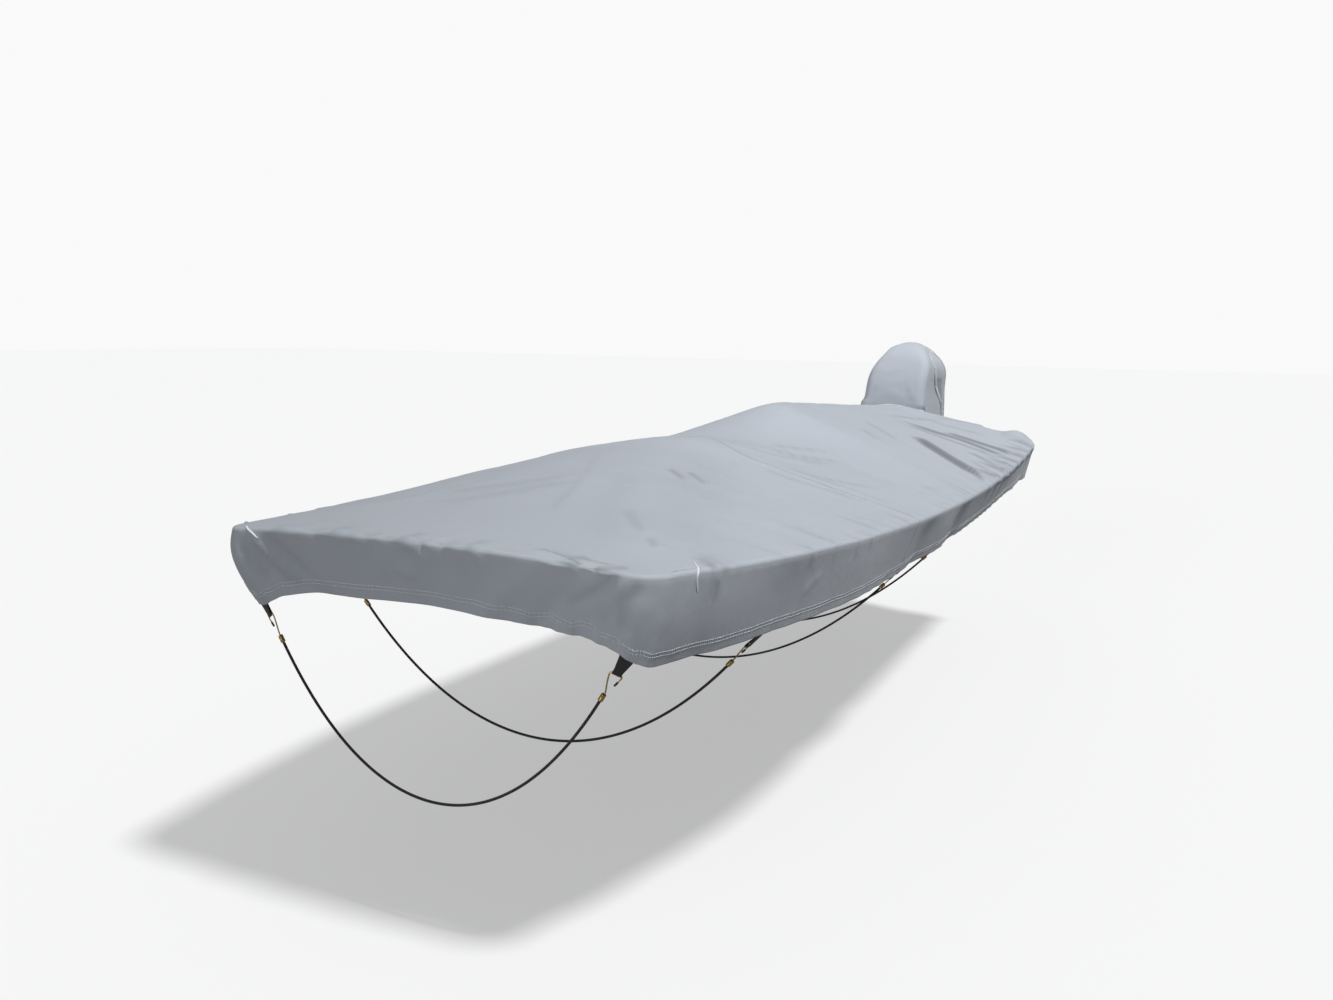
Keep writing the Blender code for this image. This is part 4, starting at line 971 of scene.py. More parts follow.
proofed = make_proofed_cloth()


def add_panel(name, node, places, faces, flat, finish):
    """A panel, as a thin sheet whose outer side is the draped surface. Also says which of
    the places it takes."""
    used, packed = np.unique(faces, return_inverse=True)
    piece = add_piece(name, to_frame(places[used]), packed.reshape(faces.shape).tolist(), finish,
                      flat[faces.ravel()], sharp=60.0)
    solid = piece.modifiers.new("doubled", "SOLIDIFY")
    solid.thickness = CLOTH_SHEET
    solid.offset = -1.0
    dress(piece, "proofed_cloth", node)
    return piece, used


round_hem = np.stack([round_rim, above_hem], axis=1).astype(np.float32)
for end, faces, flat_size in (("bow", bow_faces, (2.26, 1.96)), ("stern", stern_faces, (2.26, 3.10))):
    cloth, used = add_panel(end + "_cloth", end + "_panel", cloth_places, faces, cloth_flat, proofed)
    cloth.data.uv_layers.new(name="round_hem").data.foreach_set("uv", round_hem[faces.ravel()].ravel())
    # The folds' painted shade, for the cloth's material to darken it by.
    cloth.data.attributes.new("painted_fold_shade", "FLOAT", "POINT").data.foreach_set("value", painted_fold_shade[used])


# ---------------------------------------------------------------- the sewing
# Pale polyester thread, bonded and thick. Two rows hold the turned hem, two more hold the
# felled cross seam, and a bound dart takes up the cloth at either bow corner.

STITCH_PITCH = 0.0068
STITCH_HALF = 0.0028
THREAD_RADIUS = 0.0010
THREAD_LIFT = THREAD_RADIUS * 0.4
DUSTY_RADIUS = THREAD_RADIUS * 0.7
TWIST_SHADE = 0.8               # painted shade between the thread's twists: how dark it leaves the thread
FELL_STITCHES = 0.0045          # each row's distance from the middle of the cross seam
THREAD_COLOUR = (0.80, 0.82, 0.84)
DUSTY_THREAD = (0.52, 0.55, 0.59)
WELT_RADIUS = 0.0028
WELT_SINK = 0.0008
WELT_STEPS = 13
WELT_SIDES = 10
WELT_ENDS = 0.12                # how blunt its ends are, and how soon it tapers to them
WELT_TAPER = 0.4
Dart = namedtuple("Dart", "name path")
DARTS = (
    Dart("port", ((0.664, 0.200, 0.082), (0.690, 0.166, 0.078), (0.700, 0.150, 0.057),
                  (0.705, 0.160, 0.016))),
    Dart("starboard", ((-0.640, 0.010, 0.090), (-0.612, -0.014, 0.087), (-0.588, -0.026, 0.080),
                       (-0.560, -0.030, 0.066))),
)


def make_stitch_tree():
    """Turns a line of edges into a row of stitches along it."""
    tree = bpy.data.node_groups.new("stitch_row", "GeometryNodeTree")
    for label, kind in (("Geometry", "NodeSocketGeometry"), ("Pitch", "NodeSocketFloat"),
                        ("Radius", "NodeSocketFloat"), ("Half Length", "NodeSocketFloat"),
                        ("Thread", "NodeSocketMaterial")):
        tree.interface.new_socket(label, in_out="INPUT", socket_type=kind)
    tree.interface.new_socket("Geometry", in_out="OUTPUT", socket_type="NodeSocketGeometry")
    given, result = tree.nodes.new("NodeGroupInput"), tree.nodes.new("NodeGroupOutput")
    line = place_node(tree, "GeometryNodeMeshToCurve", {"Mesh": given.outputs["Geometry"]})
    spots = place_node(tree, "GeometryNodeCurveToPoints",
                       {"Curve": line.outputs["Curve"], "Length": given.outputs["Pitch"]}, mode="LENGTH")
    bead = place_node(tree, "GeometryNodeMeshUVSphere", {"Segments": 5, "Rings": 3, "Radius": 1.0})
    size = place_node(tree, "ShaderNodeCombineXYZ", {0: given.outputs["Radius"], 1: given.outputs["Radius"],
                                                     2: given.outputs["Half Length"]})
    sewn = place_node(tree, "GeometryNodeInstanceOnPoints",
                      {"Points": spots.outputs["Points"], "Instance": bead.outputs["Mesh"],
                       "Rotation": spots.outputs["Rotation"], "Scale": size.outputs[0]})
    real = place_node(tree, "GeometryNodeRealizeInstances", {0: sewn.outputs[0]})
    done = place_node(tree, "GeometryNodeSetMaterial", {"Geometry": real.outputs[0],
                                                        "Material": given.outputs["Thread"]})
    tree.links.new(done.outputs[0], result.inputs["Geometry"])
    return tree


def make_thread(name, colour):
    """Bonded polyester thread, with painted shade between its twists."""
    material, tree, shader = new_material(name)
    twist = mottle(tree, object_place(tree), scale=900.0, detail=2.0)
    shaded = two_tone(tree, twist, [TWIST_SHADE * channel for channel in colour], colour)
    feed(tree, shader, {"Base Color": shaded, "Roughness": 0.6, "Sheen Weight": 0.2})
    return material


stitch_tree = make_stitch_tree()
thread = make_thread("pale_thread", THREAD_COLOUR)
dusty_thread = make_thread("dusty_thread", DUSTY_THREAD)


def sew(name, lines, used=thread, radius=THREAD_RADIUS):
    """Rows of stitches along lines of places in the object's frame, as one piece."""
    points, edges = [], []
    for line in lines:
        first = len(points)
        points += [tuple(map(float, place)) for place in line]
        edges += [(n, n + 1) for n in range(first, len(points) - 1)]
    mesh = bpy.data.meshes.new(name + "_line")
    mesh.from_pydata(points, edges, [])
    guide = bpy.data.objects.new(name + "_line", mesh)
    bpy.context.collection.objects.link(guide)
    rows = guide.modifiers.new("stitches", "NODES")
    rows.node_group = stitch_tree
    sizes = {"Pitch": STITCH_PITCH, "Radius": radius, "Half Length": STITCH_HALF, "Thread": used}
    for item in stitch_tree.interface.items_tree:
        if item.in_out == "INPUT" and item.name in sizes:
            rows[item.identifier] = sizes[item.name]
    sewn = bpy.data.meshes.new_from_object(guide.evaluated_get(bpy.context.evaluated_depsgraph_get()))
    bpy.data.objects.remove(guide)
    sewn.shade_smooth()
    piece = bpy.data.objects.new(name, sewn)
    bpy.context.collection.objects.link(piece)
    return dress(piece, "proofed_cloth")


def hem_lines(rows_wanted):
    """The hem's stitch rows, as runs of places, between the given rows of the top."""
    runs = []
    for stitch_row in STITCH_ROWS:
        ring = ring_points[len(EDGE_TURNS) + SKIRT_STEPS + HEM_LEVELS.index(stitch_row)]
        run = []
        for k in list(range(len(loop))) + [0]:
            row, across = loop[k][0], rim_places[k][0]
            in_notch = row == last_row and abs(across - HOOD_ACROSS) < HOOD_NOTCH + NOTCH_SLACK
            if row in rows_wanted and not in_notch:
                run.append(cloth_places[ring[k]] + cloth_normals[ring[k]] * THREAD_LIFT)
            elif run:
                runs.append(to_frame(run))
                run = []
        if len(run) > 1:
            runs.append(to_frame(run))
    return runs


def seam_line(off, wanted):
    """A stretch of the line along the cross seam, off to its bow or stern side."""
    toward = seam_row + int(math.copysign(1, off))
    share = abs(off) / FELL_ROWS[0]
    places = []
    for row, weight in ((seam_row, 1 - share), (toward, share)):
        ids = {"top": grid[row, 1:-1], "port": ring_points[:, column_count - 1 + row],
               "starboard": ring_points[:, len(loop) - row]}[wanted]
        places.append(weight * (cloth_places[ids] + cloth_normals[ids] * THREAD_LIFT))
    return to_frame(places[0] + places[1])


sew("bow_hem_stitches", hem_lines(set(range(seam_row + 1))))
sew("stern_hem_stitches", hem_lines(set(range(seam_row, row_count))))
both_rows = (-FELL_STITCHES, FELL_STITCHES)
sew("cross_seam_stitches", [seam_line(off, "top") for off in both_rows], dusty_thread, DUSTY_RADIUS)
sew("skirt_seam_stitches", [seam_line(off, side_name) for off in both_rows for side_name in SIDES])

cloth_skin = BVHTree.FromPolygons(cloth_places.tolist(), cloth_faces.tolist())
for dart in DARTS:
    on_skin = []
    for place in smooth_path(dart.path, WELT_STEPS):
        spot, normal = cloth_skin.find_nearest(Vector(place))[:2]
        on_skin.append(np.array(spot) + np.array(normal) * (WELT_RADIUS - WELT_SINK) * 0.5)
    taper = WELT_RADIUS * np.sin(np.linspace(WELT_ENDS, math.pi - WELT_ENDS, len(on_skin))) ** WELT_TAPER
    add_tube("dart_welt_" + dart.name, to_frame(on_skin), taper, WELT_SIDES, thread, "proofed_cloth")


# ---------------------------------------------------------------- the motor hood
# A hood of the same cloth stands over the outboard motor: one long panel goes up the
# front, over the crown and down the back, and a rounded panel closes either side. Their
# bound seams stand out and pucker. Its front edge is sewn down to the cover.

HOOD_NOSE = 4.378
HOOD_CORNER = 0.050
HOOD_BULGE = 0.016
HOOD_BACK_CROWN = 0.012
HOOD_TOP_CROWN = 0.052
HOOD_CROWN_SQUARENESS = 3
HOOD_HALF = 0.182
HOOD_SHOULDER = 0.38            # above this height the hood's front is half an ellipse
HOOD_ROUND = 0.22
HOOD_LEAN = 0.012               # how far its top stands to port of its foot
LEAN_RISES = (0.25, 0.50)       # the heights between which the lean comes in,
CROWN_RISES = (0.30, 0.54)      # and the crown,
BULGE_RISES = (0.05, 0.48)      # and the sides' bulge, which then
BULGE_ENDS = (0.56, 0.46)       # goes again between these
CLOSING_DEPTH = 0.16            # less deep than this, the front begins to close
DECK_CLEARANCE = 0.005
HIGH_ABOVE = 1.0
Swelling = namedtuple("Swelling", "out height reach")
HOOD_CHEEK = Swelling(0.003, 0.44, 0.09)        # the port side's slack
HOOD_PINCH = Swelling(0.002, 0.325, 0.060)
HOOD_SLOPE = Swelling(0.026, 0.500, 0.090)      # how its starboard shoulder falls away
HOOD_FLARE = Swelling(0.028, 0.225, 0.030)      # where its starboard foot spreads on the cover
Rung = namedtuple("Rung", "place height nose seam back")
HOOD = tuple(Rung(n / 8, *row) for n, row in enumerate((
    (-0.060, HOOD_NOSE, 4.835, 4.925),
    (0.070, HOOD_NOSE, 4.850, 4.922),
    (0.190, HOOD_NOSE, 4.845, 4.918),
    (0.270, HOOD_NOSE + 0.004, 4.775, 4.914),
    (0.350, HOOD_NOSE + 0.018, 4.645, 4.904),
    (0.425, HOOD_NOSE + 0.052, 4.592, 4.880),
    (0.488, HOOD_NOSE + 0.104, 4.592, 4.838),
    (0.530, HOOD_NOSE + 0.180, 4.634, 4.776),
    (0.546, 4.690, 4.690, 4.690),
)))
HOOD_RUNGS = 64
HOOD_COLUMNS = 61
HOOD_SIDE_COLUMNS = 25
SIDE_SHARE = 0.76               # shares across the panel where its side and its front end
FRONT_SHARE = 0.48
SHARE_SLACK = 0.001
BAND_HALF_CUT = 0.35            # half the long panel's width, as it was cut
HOOD_FOOT_RADIUS = 0.0035
HOOD_FOOT_SIDES = 10
HOOD_FOOT_LIFT = 0.8            # how many of its radii its middle stands up
SEAM_GAP = 0.0003
BAND_SLACK = 3.0                # the panels' unevenness, in millimetres
SIDE_SLACK = 2.5
SLACK_SCALE = (9, 9, 7)
HOOD_LIGHTER = 1.10
HOOD_CREASES = (
    Crease(2.0, 30, 0.8, 0.3, 0.3, ((0.10, 4.372, 0.262), (0.03, 4.372, 0.300), (-0.05, 4.374, 0.315))),
    Crease(2.5, 18, 0.8, 0.3, 0.4, ((0.15, 4.372, 0.255), (0.13, 4.372, 0.310), (0.12, 4.385, 0.380))),
    Crease(-2.5, 18, 0.8, 0.2, 0.4, ((-0.13, 4.372, 0.245), (-0.10, 4.372, 0.300), (-0.09, 4.380, 0.360))),
    Crease(2.0, 24, 0.8, 0.3, 0.3, ((-0.12, 4.440, 0.440), (-0.02, 4.425, 0.430), (0.10, 4.440, 0.445))),
    Crease(2.0, 12, 0.7, 0.2, 0.4, ((0.205, 4.56, 0.455), (0.205, 4.62, 0.440), (0.205, 4.70, 0.435))),
    Crease(2.0, 12, 0.7, 0.2, 0.4, ((0.206, 4.60, 0.400), (0.206, 4.67, 0.385), (0.206, 4.76, 0.390))),
    Crease(-0.8, 16, 0.7, 0.2, 0.4, ((0.206, 4.63, 0.365), (0.206, 4.70, 0.345), (0.206, 4.78, 0.340))),
    Crease(2.0, 12, 0.7, 0.2, 0.4, ((0.204, 4.78, 0.285), (0.204, 4.72, 0.240), (0.204, 4.60, 0.215))),
    Crease(2.0, 12, 0.7, 0.3, 0.4, ((0.204, 4.40, 0.245), (0.204, 4.48, 0.300), (0.204, 4.56, 0.390))),
    Crease(4.5, 14, 0.8, 0.3, 0.4, ((-0.165, 4.60, 0.400), (-0.165, 4.68, 0.380), (-0.165, 4.78, 0.385))),
    Crease(-4.0, 12, 0.8, 0.3, 0.4, ((-0.164, 4.42, 0.250), (-0.164, 4.50, 0.310), (-0.164, 4.55, 0.380))),
    Crease(5.0, 18, 0.8, 0.3, 0.3, ((-0.08, 4.93, 0.00), (-0.04, 4.93, 0.18), (-0.05, 4.92, 0.34))),
    Crease(5.0, 18, 0.8, 0.3, 0.3, ((0.13, 4.93, -0.02), (0.10, 4.93, 0.14), (0.12, 4.92, 0.30))),
)


def hood_rung(place):
    """The hood's outline from the side, at a place up it."""
    return Rung(*(smooth(HOOD, place, field) for field in Rung._fields))


def swelling(height, swell):
    """How far a swelling stands out at a height."""
    return swell.out * np.exp(-((height - swell.height) / swell.reach) ** 2)


def hood_half(height, side):
    """The hood's half-width at a height: straight sides under a rounded top."""
    past = np.clip((height - HOOD_SHOULDER) / HOOD_ROUND, 0, 1)
    half = HOOD_HALF * np.sqrt(1 - past * past)
    port = half + swelling(height, HOOD_CHEEK) - swelling(height, HOOD_PINCH)
    starboard = half + swelling(height, HOOD_FLARE) - swelling(height, HOOD_SLOPE)
    return np.where(np.asarray(side) > 0, port, starboard)


def hood_middle(height):
    """Where the hood's middle is across the cover, at a height."""
    return HOOD_ACROSS + HOOD_LEAN * smoothstep(*LEAN_RISES, height)


def hood_band_place(share, place, behind):
    """A place on the long panel: a share across it, at a place up the hood."""
    rung = hood_rung(place)
    half = hood_half(rung.height, share) - 2 * SEAM_GAP
    out, side = np.abs(share), np.sign(share)
    crown = HOOD_TOP_CROWN * smoothstep(*CROWN_RISES, rung.height) * (1 - out ** HOOD_CROWN_SQUARENESS)
    if behind:
        station = rung.back + HOOD_BACK_CROWN * (1 - share ** 2)
        return np.stack([hood_middle(rung.height) + share * half, station, rung.height + crown], axis=-1)
    angle = np.clip((SIDE_SHARE - out) / (SIDE_SHARE - FRONT_SHARE), 0, 1) * math.pi / 2
    toward_seam = np.where(out > SIDE_SHARE, (out - SIDE_SHARE) / (1 - SIDE_SHARE), -np.sin(angle))
    boxed = np.where(out >= FRONT_SHARE, half - HOOD_CORNER * (1 - np.cos(angle)),
                     (half - HOOD_CORNER) * out / FRONT_SHARE)
    depth = rung.seam - rung.nose
    corner = np.minimum(HOOD_CORNER, depth)
    closing = smoothstep(CLOSING_DEPTH, 0.0, depth)
    across = side * (boxed + (out * half - boxed) * closing)
    station = np.where(toward_seam >= 0, rung.nose + corner + (depth - corner) * toward_seam,
                       rung.nose + corner * (1 + toward_seam))
    return np.stack([hood_middle(rung.height) + across, station, rung.height + crown], axis=-1)


def dent(places, faces, slack, seed):
    """Presses the hood's creases and a little slack into one of its panels."""
    normals = vertex_normals(places, faces)
    moved = sum(press_crease(crease, places, normals)[0] for crease in HOOD_CREASES)
    moved += MM * slack * np.array([noise.noise(Vector(place) + Vector((0, 0, seed)))
                                    for place in (places * SLACK_SCALE).tolist()])
    return places + normals * moved[:, None]


def make_hood_cloth():
    """The same cloth, made a little lighter."""
    material = proofed.copy()
    material.name = "hood_cloth"
    for made in material.node_tree.nodes:
        if made.type == "MIX" and made.data_type == "RGBA":
            for tone, colour in ((6, CLOTH_DARK), (7, CLOTH_LIGHT)):
                made.inputs[tone].default_value = (*(HOOD_LIGHTER * channel for channel in colour), 1)
    return material


hood_cloth = make_hood_cloth()


def quads(rows, columns):
    """The faces of a grid of points."""
    ids = np.arange(rows * columns).reshape(rows, columns)
    return np.stack([ids[:-1, :-1], ids[:-1, 1:], ids[1:, 1:], ids[1:, :-1]], axis=-1).reshape(-1, 4)


up_hood = np.linspace(0, 1, HOOD_RUNGS + 1)
band_share, band_place = np.meshgrid(np.linspace(-1, 1, HOOD_COLUMNS), up_hood)
nose = hood_band_place(band_share, band_place, False)
back = hood_band_place(band_share, band_place, True)[::-1][1:]
deck = float(top_height(HOOD_ACROSS, HOOD_NOSE))
seated = int(np.argmax(nose[:, 0, 2] > deck + DECK_CLEARANCE)) - 1
over_deck = np.abs(band_share[0]) <= SIDE_SHARE
for column in np.nonzero(over_deck)[0]:
    across, station, _ = nose[seated, column]
    landing = cloth_skin.ray_cast(Vector((across, station, HIGH_ABOVE)), Vector(DOWN))[0]
    nose[seated, column, 2] = landing.z + 2 * SEAM_GAP
band = np.concatenate([nose, back])
band_faces = quads(len(band), HOOD_COLUMNS)
low_front = (band_faces // HOOD_COLUMNS).min(axis=1) < seated
in_front = np.abs(band_share[0][band_faces % HOOD_COLUMNS]).min(axis=1) < SIDE_SHARE - SHARE_SLACK
band_faces = band_faces[~(low_front & in_front)]
band_round = length_along(band[:, HOOD_COLUMNS // 2])
band_flat = np.stack(np.meshgrid(BAND_HALF_CUT * band_share[0], band_round), axis=-1).reshape(-1, 2)
band_places = dent(band.reshape(-1, 3), band_faces, BAND_SLACK, 5.0)
add_panel("hood_band", "hood_center_panel", band_places, band_faces, band_flat, hood_cloth)

side_share, side_place = np.meshgrid(np.linspace(0, 1, HOOD_SIDE_COLUMNS), up_hood)
side_rung = hood_rung(side_place)
side_station = side_rung.seam + side_share * (side_rung.back - side_rung.seam)
side_bulge = HOOD_BULGE * np.sin(math.pi * side_share) ** 2 * smoothstep(*BULGE_RISES, side_rung.height)
side_bulge *= smoothstep(*BULGE_ENDS, side_rung.height)
hood_seams = {}
for side_name, side in zip(SIDES, (1, -1)):
    side_across = hood_middle(side_rung.height) + side * (hood_half(side_rung.height, side) + side_bulge)
    panel = np.stack([side_across, side_station, side_rung.height], axis=-1)
    panel_faces = quads(HOOD_RUNGS + 1, HOOD_SIDE_COLUMNS)
    if side < 0:
        panel_faces = panel_faces[:, ::-1]
    panel_places = dent(panel.reshape(-1, 3), panel_faces, SIDE_SLACK, 9.0 * side)
    add_panel("hood_side_cloth_" + side_name, "hood_side_" + side_name, panel_places, panel_faces,
              panel[..., 1:].reshape(-1, 2), hood_cloth)
    edge = panel_places.reshape(HOOD_RUNGS + 1, HOOD_SIDE_COLUMNS, 3)
    hood_seams[side_name] = np.concatenate([edge[:, 0], edge[-2::-1, -1]])

# The bound seams: a strip of pale tape folded over the two edges, which stands out and
# puckers where its stitches draw it. Behind, it is slimmer and lies closer.
STRIP_COLUMNS = 15
STRIP_SQUARENESS = 8            # how evenly thick a strip is, and how thin it ends
STRIP_THINS = 0.9
STRIP_BUNCHES = 3
BINDING_WIDTH = 0.019
BINDING_THICKNESS = 0.0030
BINDING_PROUD = 0.0020
BINDING_LEAST = 0.0010          # how far it stands out everywhere, and rides up and down
BINDING_WAVER = 0.0012
BINDING_WAVE = 0.021
BINDING_DRIFT = 2.0             # how far its puckers' spacing wanders, and how often
BINDING_DRIFTS = 11
BINDING_SWELL = 0.45
BINDING_SWELLS = 5.3
BINDING_POINTS = 260
SLIM_BETWEEN = (0.38, 0.50)     # shares of its length between which it grows slim,
SLIMMED = 0.65                  # by this share
BINDING_FACES = (0.30, 0.80, 0.50)  # out, along and up: the way that the tape's flat side turns
BINDING_COLOUR = (0.95, 0.96, 0.98)


def strip_mesh(path, widths, sideways, thickness, gathers, edge_width):
    """A woven strip along a path, a little thicker in its middle, which bunches where it
    is narrow. edge_width is its real width, for its weave."""
    path = np.asarray(path, float)
    sideways = np.broadcast_to(sideways, path.shape)
    half_ring = np.linspace(-0.5, 0.5, STRIP_COLUMNS)
    ring = np.concatenate([half_ring, half_ring[::-1]])
    face = np.repeat([1.0, -1.0], STRIP_COLUMNS)
    plump = thickness / 2 * np.sqrt(1 - (ring * 2) ** STRIP_SQUARENESS * STRIP_THINS) * face
    lift = np.cross(unit(np.gradient(path, axis=0)), sideways)
    points = []
    for n, place in enumerate(path):
        bunch = gathers * (1 - widths[n] / max(widths)) * np.cos(2 * math.pi * STRIP_BUNCHES * ring)
        points.append(place + np.outer(ring * widths[n], sideways[n]) + np.outer(plump + bunch, lift[n]))
    wrapped = close_round(path, len(ring), lambda n, k: ring[k % len(ring)] * edge_width)
    return np.concatenate(points), *wrapped


def make_seam_binding():
    """Pale proofed tape, worn in places, with light coming through it."""
    material, tree, shader = new_material("seam_binding")
    wear = mottle(tree, object_place(tree), scale=40.0, detail=4.0)
    feed(tree, shader, {"Base Color": two_tone(tree, wear, CLOTH_LIGHT, BINDING_COLOUR),
                        "Normal": bumped(tree, wear, distance=0.001), "Roughness": 0.55,
                        "Subsurface Weight": 0.9, "Subsurface Radius": (1.0, 1.0, 1.0),
                        "Subsurface Scale": 0.02})
    return material


seam_binding = make_seam_binding()
hood_foot = nose[seated][over_deck] + np.array([0.0, -HOOD_FOOT_RADIUS, HOOD_FOOT_RADIUS * HOOD_FOOT_LIFT])
add_tube("hood_foot_seam", to_frame(hood_foot), HOOD_FOOT_RADIUS, HOOD_FOOT_SIDES, seam_binding,
         "proofed_cloth")
for side_name, side in zip(SIDES, (1, -1)):
    edge = hood_seams[side_name]
    along = length_along(edge)
    at = np.linspace(0, along[-1], BINDING_POINTS)
    line = np.stack([np.interp(at, along, edge[:, axis]) for axis in range(3)], axis=1)
    turns = 2 * math.pi * at / BINDING_WAVE
    wobble = np.sin(turns + BINDING_DRIFT * np.sin(at * BINDING_DRIFTS))
    slim = smoothstep(*SLIM_BETWEEN, at / at[-1])
    line[:, 0] += side * ((BINDING_PROUD + BINDING_WAVER * wobble) * (1 - slim) + BINDING_LEAST)
    line[:, 2] += BINDING_LEAST * np.cos(turns)
    in_front = np.arange(BINDING_POINTS) < BINDING_POINTS / 2
    out, ahead_or_back, upward = BINDING_FACES
    turned = np.stack([np.full(BINDING_POINTS, side * out), np.where(in_front, -1, 1) * ahead_or_back,
                       np.full(BINDING_POINTS, upward)], axis=1)
    sideways = unit(np.cross(unit(np.gradient(line, axis=0)), turned))
    widths = BINDING_WIDTH * (1 + BINDING_SWELL * wobble * np.sin(at * BINDING_SWELLS) ** 2)
    widths = widths * (1 - SLIMMED * slim)
    points, faces, flat = strip_mesh(to_frame(line), widths, sideways, BINDING_THICKNESS, 0.0, BINDING_WIDTH)
    dress(add_piece("hood_seam_" + side_name, points, faces, seam_binding, flat), "proofed_cloth")


# ---------------------------------------------------------------- the tie-downs
# At each side of each cord: a folded strip of black webbing sewn inside the hem, a hook
# bent from yellow zinc-plated wire with a black vinyl tip, and a coil of the same wire
# that crimps the cord's end. Each is worked out from the place of its hook.

WEBBING = 0.0016
LOOP_WIDTH = 0.038
LOOP_WAIST = 0.024
LOOP_DROP = 0.046
LOOP_SEWN = 0.024
LOOP_ELBOW = 0.006
LOOP_NECK = 0.45                # shares of the drop: where the loop's layers part,
LOOP_CLOSES = 0.8               # and where they are furthest apart,
LOOP_SPREAD = 1.9               # by this many times the radius at which it turns round the wire
LOOP_GATHERS = 0.0012
LOOP_STEPS = 3
LOOP_TURN_STEPS = 9
WIRE_RADIUS = 0.0020
WIRE_SIDES = 12
HOOK_LENGTH = 0.064
HOOK_STEPS = 7
HOOK_OPEN_END = 0.4             # past this share of its points, a hook lies to its open side
CRIMP_LENGTH = 0.024
COIL_RADIUS = 0.0054
COIL_WIRE = 0.0016
COIL_SIDES = 8
COIL_TURNS = 7
COIL_STEPS = 18                 # in each turn
CORE_SIDES = 14
TIP_SIDES = 14
TIP_RADIUS = 0.0029
TIP_LENGTH = 0.012
# The tip's shape: how far along it, and its share of the radius there.
TIP_SHAPE = ((-0.25, 0.90), (0.0, 1.0), (0.5, 1.0), (0.8, 0.92), (0.95, 0.65), (1.0, 0.25))
# The hook's bends: sideways from its shank, and along it from its eye.
HOOK_BENDS = ((0.0, HOOK_LENGTH), (0.0, HOOK_LENGTH - 0.006), (0.010, 0.030), (0.016, 0.008),
              (0.0155, 0.0035), (0.012, 0.0), (0.0, 0.0), (-0.012, 0.0), (-0.0155, 0.0035), (-0.016, 0.008),
              (-0.013, 0.022))
YELLOW_DULL = (0.42, 0.27, 0.09)
YELLOW_BRIGHT = (0.80, 0.58, 0.24)
BLACK_VINYL = (0.012, 0.012, 0.013, 1)


def make_yellow_wire():
    """Zinc plating with a yellow passivate: satin, a little patchy, dull in places."""
    material, tree, shader = new_material("yellow_wire")
    patches = mottle(tree, object_place(tree), scale=90.0, detail=5.0)
    feed(tree, shader, {"Base Color": two_tone(tree, patches, YELLOW_DULL, YELLOW_BRIGHT),
                        "Roughness": between(tree, patches, 0.25, 0.5), "Metallic": 1.0})
    return material


def make_vinyl():
    """Dipped black vinyl, lightly scuffed."""
    material, tree, shader = new_material("black_vinyl")
    scuffs = mottle(tree, object_place(tree), scale=300.0, detail=4.0)
    feed(tree, shader, {"Base Color": BLACK_VINYL, "Roughness": between(tree, scuffs, 0.35, 0.6)})
    return material


webbing = woven("black_webbing", BLACK_YARN, WORN_YARN, pitch=0.0018, relief=0.0004, roughness=0.75,
                sheen=0.2)
yellow_wire = make_yellow_wire()
vinyl = make_vinyl()


def node_points(name):
    """The corners of one of the part's solids."""
    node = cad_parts[name]
    return np.array([tuple(node.matrix_world @ vertex.co) for vertex in node.data.vertices])


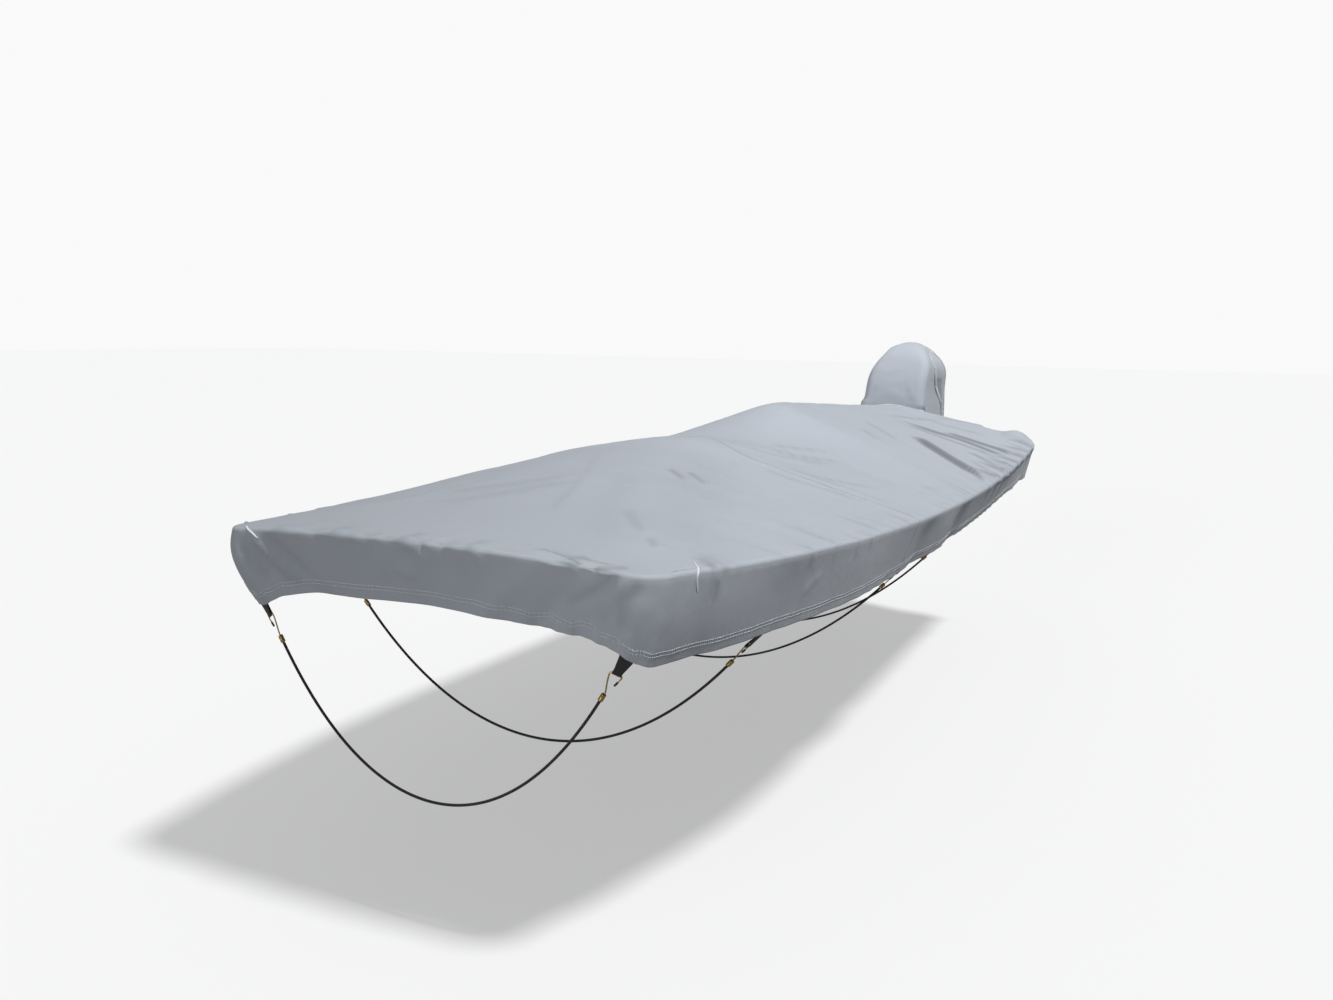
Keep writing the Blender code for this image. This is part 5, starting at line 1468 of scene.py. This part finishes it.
for shock in SHOCK_CORDS:
    slope = math.radians(shock.slope)
    for side_name, side in zip(SIDES, (1, -1)):
        # The way that the cord pulls, and the way that the hook's wire lies across it.
        label = f"{side_name}_{shock.number}"
        pull = np.array([-side * math.cos(slope), 0.0, -math.sin(slope)])
        hook_cloud = node_points("tie_hook_" + label)
        crimp_middle = node_points("cord_crimp_" + label).mean(axis=0)
        depths = hook_cloud @ pull
        spread = hook_cloud - hook_cloud.mean(axis=0)
        spread = spread - np.outer(spread @ pull, pull)
        sideways = np.linalg.svd(spread, full_matrices=False)[2][0]
        sideways = unit(sideways - pull * sideways.dot(pull))
        open_end = hook_cloud[depths > np.quantile(depths, HOOK_OPEN_END)].mean(axis=0)
        if (open_end - crimp_middle).dot(sideways) < 0:
            sideways = -sideways
        wire = crimp_middle + pull * (depths.min() + WIRE_RADIUS - crimp_middle @ pull)
        bends = [wire + sideways * a + pull * b for a, b in HOOK_BENDS]
        add_tube("hook_" + label, smooth_path(bends, HOOK_STEPS), WIRE_RADIUS, WIRE_SIDES, yellow_wire,
                 "yellow_wire", "tie_hook_" + label)

        away = unit(bends[-1] - bends[-2])
        tip_path = [bends[-1] + away * TIP_LENGTH * along for along, _ in TIP_SHAPE]
        tip_radii = np.array([TIP_RADIUS * share for _, share in TIP_SHAPE])
        add_tube("tip_" + label, tip_path, tip_radii, TIP_SIDES, vinyl, "black_tip", "hook_tip_" + label)

        behind = unit(np.cross(sideways, pull))
        turns = np.linspace(0, COIL_TURNS * 2 * math.pi, COIL_TURNS * COIL_STEPS)
        rise = np.linspace(-0.5, 0.5, len(turns)) * (CRIMP_LENGTH - 2 * COIL_WIRE)
        coil = crimp_middle + np.outer(rise, pull) + COIL_RADIUS * (
            np.outer(np.cos(turns), sideways) + np.outer(np.sin(turns), behind))
        core = [crimp_middle + pull * CRIMP_LENGTH * along for along in (-0.5, 0.0, 0.5)]
        points, faces, flat = tube_mesh(coil, COIL_WIRE, COIL_SIDES)
        core_points, core_faces, core_flat = tube_mesh(core, CORD_DIAMETER / 2, CORE_SIDES)
        core_faces = [tuple(i + len(points) for i in face) for face in core_faces]
        crimp = add_piece("crimp_" + label, points + core_points, faces + core_faces, yellow_wire,
                          flat + core_flat)
        crimp.data.materials.append(sleeve)
        for polygon in crimp.data.polygons[len(faces):]:
            polygon.material_index = 1
        dress(crimp, "yellow_wire", "cord_crimp_" + label)

        # The webbing comes down from the hem, goes round the hook's wire and back up.
        if behind[0] * side > 0:
            behind = -behind
        bend = WIRE_RADIUS + 2 * SEAM_GAP + WEBBING / 2
        back_layer = behind * (WEBBING + 2 * SEAM_GAP)
        elbow = wire - behind * bend - pull * LOOP_DROP
        loop_cloud = node_points("tie_loop_" + label)
        tops = loop_cloud[loop_cloud[:, 2] > elbow[2] + LOOP_ELBOW * 2].mean(axis=0)
        upward = unit(tops - elbow - back_layer / 2)
        sewn = [elbow + upward * (LOOP_ELBOW + LOOP_SEWN * share) for share in (1, 0.5, 0)]
        neck, closes = (elbow + pull * LOOP_DROP * share for share in (LOOP_NECK, LOOP_CLOSES))
        turn_round = [wire - behind * bend * math.cos(a) + pull * bend * math.sin(a)
                      for a in np.linspace(0, math.pi, LOOP_TURN_STEPS)]
        strip_path = smooth_path([
            *sewn, elbow, neck, closes, *turn_round, closes + behind * bend * LOOP_SPREAD,
            neck + behind * bend + back_layer / 2, elbow + back_layer,
            *(place + back_layer for place in sewn[::-1])], LOOP_STEPS)
        down_loop = np.clip((strip_path - elbow) @ pull, 0, None) / (LOOP_DROP * LOOP_CLOSES)
        widths = np.maximum(LOOP_WAIST, LOOP_WIDTH - (LOOP_WIDTH - LOOP_WAIST) * down_loop)
        points, faces, flat = strip_mesh(strip_path, widths, sideways, WEBBING, LOOP_GATHERS, LOOP_WIDTH)
        dress(add_piece("loop_" + label, points, faces, webbing, flat, sharp=70.0), "black_webbing",
              "tie_loop_" + label)


# ---------------------------------------------------------------- the floor and the light
# A plain pale floor, where the boat's trailer would stand, a soft sun from above and a
# little to port, and a pale room.

FLOOR_HEIGHT = -1.25
FLOOR_HALF = 60.0
FLOOR_COLOUR = (0.45, 0.45, 0.45)
SUN_FROM = Vector((0.45, -0.05, 0.89))
SUN_STRENGTH = 3.0
SUN_SPREAD = math.radians(8)
FILL_FROM = Vector((-0.15, -0.98, 0.12))
FILL_STRENGTH = 1.02
FILL_SPREAD = math.radians(20)
ROOM_STRENGTH = 0.24
ROOM_SEEN = 0.95
FLOOR_DULL = (0.17, 0.17, 0.17)     # as the cloth meets it, so that its skirt stays in shade
FLOOR_LIFT = 0.42                   # light that the eye sees in the floor's shadow
PALE_ROOM = (0.95, 0.97, 1.0, 1)

floor_finish, floor_tree, floor_shader = new_material("pale_floor")
floor_by_eye = place_node(floor_tree, "ShaderNodeLightPath").outputs["Is Camera Ray"]
feed(floor_tree, floor_shader, {
    "Base Color": two_tone(floor_tree, floor_by_eye, FLOOR_DULL, FLOOR_COLOUR), "Roughness": 0.95,
    "Emission Color": (1, 1, 1, 1),
    "Emission Strength": sum_node(floor_tree, "MULTIPLY", floor_by_eye, FLOOR_LIFT)})
floor_corners = [(x * FLOOR_HALF, y * FLOOR_HALF, FLOOR_HEIGHT)
                 for x, y in ((-1, -1), (1, -1), (1, 1), (-1, 1))]
floor = add_piece("floor", floor_corners, [(0, 1, 2, 3)], floor_finish)

for light_name, light_from, strength, spread in (("soft_sun", SUN_FROM, SUN_STRENGTH, SUN_SPREAD),
                                                 ("soft_fill", FILL_FROM, FILL_STRENGTH, FILL_SPREAD)):
    lamp = bpy.data.lights.new(light_name, "SUN")
    lamp.energy = strength
    lamp.angle = spread
    lamp_object = bpy.data.objects.new(light_name, lamp)
    lamp_object.rotation_euler = light_from.to_track_quat("Z", "Y").to_euler()
    bpy.context.collection.objects.link(lamp_object)

bpy.context.scene.view_settings.view_transform = "Standard"
room = bpy.data.worlds.new("pale_room")
room.use_nodes = True
bpy.context.scene.world = room
room_tree = room.node_tree
lit = room_tree.nodes["Background"]
feed(room_tree, lit, {"Color": PALE_ROOM, "Strength": ROOM_STRENGTH})
seen = place_node(room_tree, "ShaderNodeBackground", {"Color": (1, 1, 1, 1), "Strength": ROOM_SEEN})
by_eye = place_node(room_tree, "ShaderNodeLightPath").outputs["Is Camera Ray"]
blend = place_node(room_tree, "ShaderNodeMixShader", {0: by_eye, 1: lit.outputs[0], 2: seen.outputs[0]})
room_tree.links.new(blend.outputs[0], room_tree.nodes["World Output"].inputs["Surface"])
